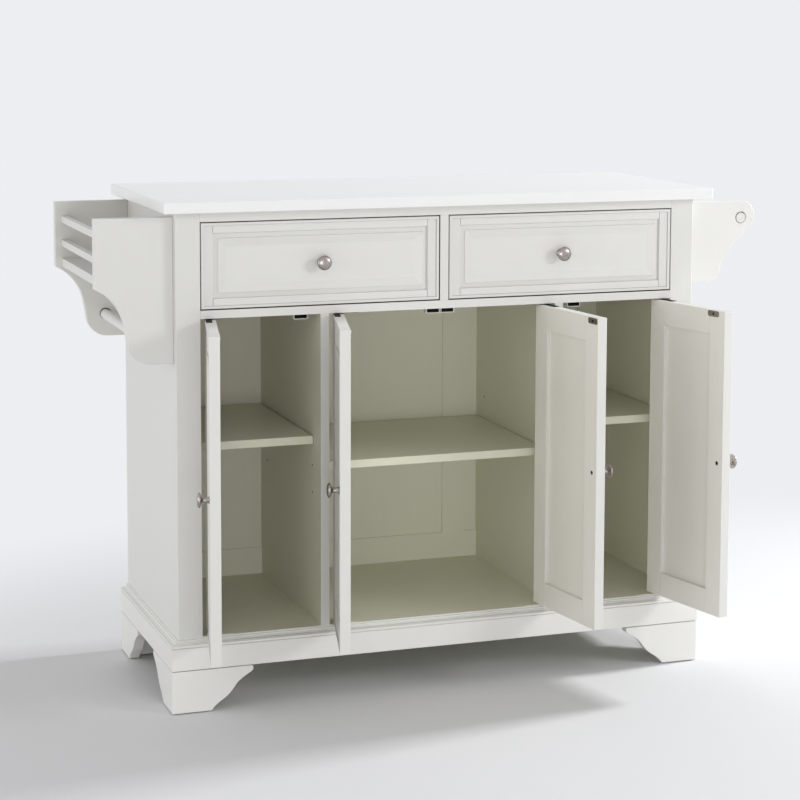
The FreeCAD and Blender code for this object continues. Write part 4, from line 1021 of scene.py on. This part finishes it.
# ---------------------------------------------------------------------------
# Floor and light. A pale floor that turns into a plain pale backdrop with no
# edge, one soft lamp high on the right that throws the long shadow to the
# left, soft fills in front and at the left, and a plain pale room.
FLOOR_REACH = 30.0
FLOOR_COLOUR = (0.712, 0.712, 0.727)
BACKDROP_COLOUR = (0.845, 0.857, 0.890)
BACKDROP_CENTRE = (0.25, -0.90, 0.0)
BACKDROP_STARTS = 1.45
BACKDROP_FULL = 2.40
ROOM_STRENGTH = 0.55
floor_mesh = bpy.data.meshes.new("studio_floor")
floor_mesh.from_pydata([(x, y, 0) for x, y in rectangle(-FLOOR_REACH, -FLOOR_REACH, FLOOR_REACH, FLOOR_REACH)],
                       [], [(0, 1, 2, 3)])
floor = bpy.data.objects.new("studio_floor", floor_mesh)
bpy.context.collection.objects.link(floor)


def seen_directly(tree):
    """1 for a ray from the camera, off gloss or through glass, and 0 for light on its way to a surface."""
    rays = [add_node(tree, "LightPath", None, out) for out in
            ("Is Camera Ray", "Is Glossy Ray", "Is Transmission Ray")]
    return add_node(tree, "Math", {"operation": "ADD", "use_clamp": True}, _0=rays[0] + rays[1], _1=rays[2])


floor_material, floor_tree = new_material("studio_floor")
from_centre = add_node(floor_tree, "VectorMath", {"operation": "DISTANCE"}, 1, _0=place(floor_tree),
                       _1=BACKDROP_CENTRE)
backdrop_share = add_node(floor_tree, "MapRange", {"interpolation_type": "SMOOTHSTEP"}, Value=from_centre,
                          From_Min=BACKDROP_STARTS, From_Max=BACKDROP_FULL)
cloth = add_node(floor_tree, "BsdfDiffuse", Color=FLOOR_COLOUR)
glow = add_node(floor_tree, "Emission", Color=BACKDROP_COLOUR, Strength=1.0)
add_node(floor_tree, "OutputMaterial",
         Surface=add_node(floor_tree, "MixShader", _0=backdrop_share * seen_directly(floor_tree),
                          _1=cloth, _2=glow))
floor_mesh.materials.append(floor_material)
floor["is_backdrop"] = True

world = bpy.data.worlds.new("studio")
bpy.context.scene.world = world
world.use_nodes = True
sky = world.node_tree
sky.nodes.clear()
room = add_node(sky, "Background", Color=(1.0, 1.0, 1.0), Strength=ROOM_STRENGTH)
backdrop = add_node(sky, "Background", Color=BACKDROP_COLOUR, Strength=1.0)
add_node(sky, "OutputWorld", Surface=add_node(sky, "MixShader", _0=seen_directly(sky), _1=room, _2=backdrop))

for name, stand, aim, width, height, power, colour in (
        ("right_lamp", (4.375, 0.25, 2.425), (0.0, 0.0, 0.3), 0.56, 0.56, 204.0, (0.98, 0.99, 1.0)),
        ("front_fill", (2.9, -3.2, 1.9), (0.1, 0.0, 0.5), 1.3, 0.9, 45.0, (1.0, 1.0, 1.0)),
        ("camera_fill", (-1.2, -4.4, 0.5), (0.0, 0.0, 0.4), 2.4, 0.8, 34.0, (1.0, 1.0, 0.99)),
        ("left_back_fill", (-3.4, 1.0, 1.0), (0.0, 0.0, 0.4), 1.6, 1.6, 16.0, (1.0, 1.0, 1.0)),
        ("left_front_fill", (-3.4, -1.2, 1.1), (0.0, 0.0, 0.4), 1.6, 1.6, 16.0, (1.0, 1.0, 1.0))):
    light = bpy.data.lights.new(name, "AREA")
    light.shape = "RECTANGLE"
    light.size, light.size_y = width, height
    light.energy = power
    light.color = colour
    lamp = bpy.data.objects.new(name, light)
    bpy.context.collection.objects.link(lamp)
    away = Vector(stand) - Vector(aim)
    lamp.matrix_world = Matrix.Translation(stand) @ away.to_track_quat("Z", "Y").to_matrix().to_4x4()

bpy.context.scene.view_settings.view_transform = "Standard"

low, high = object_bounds()
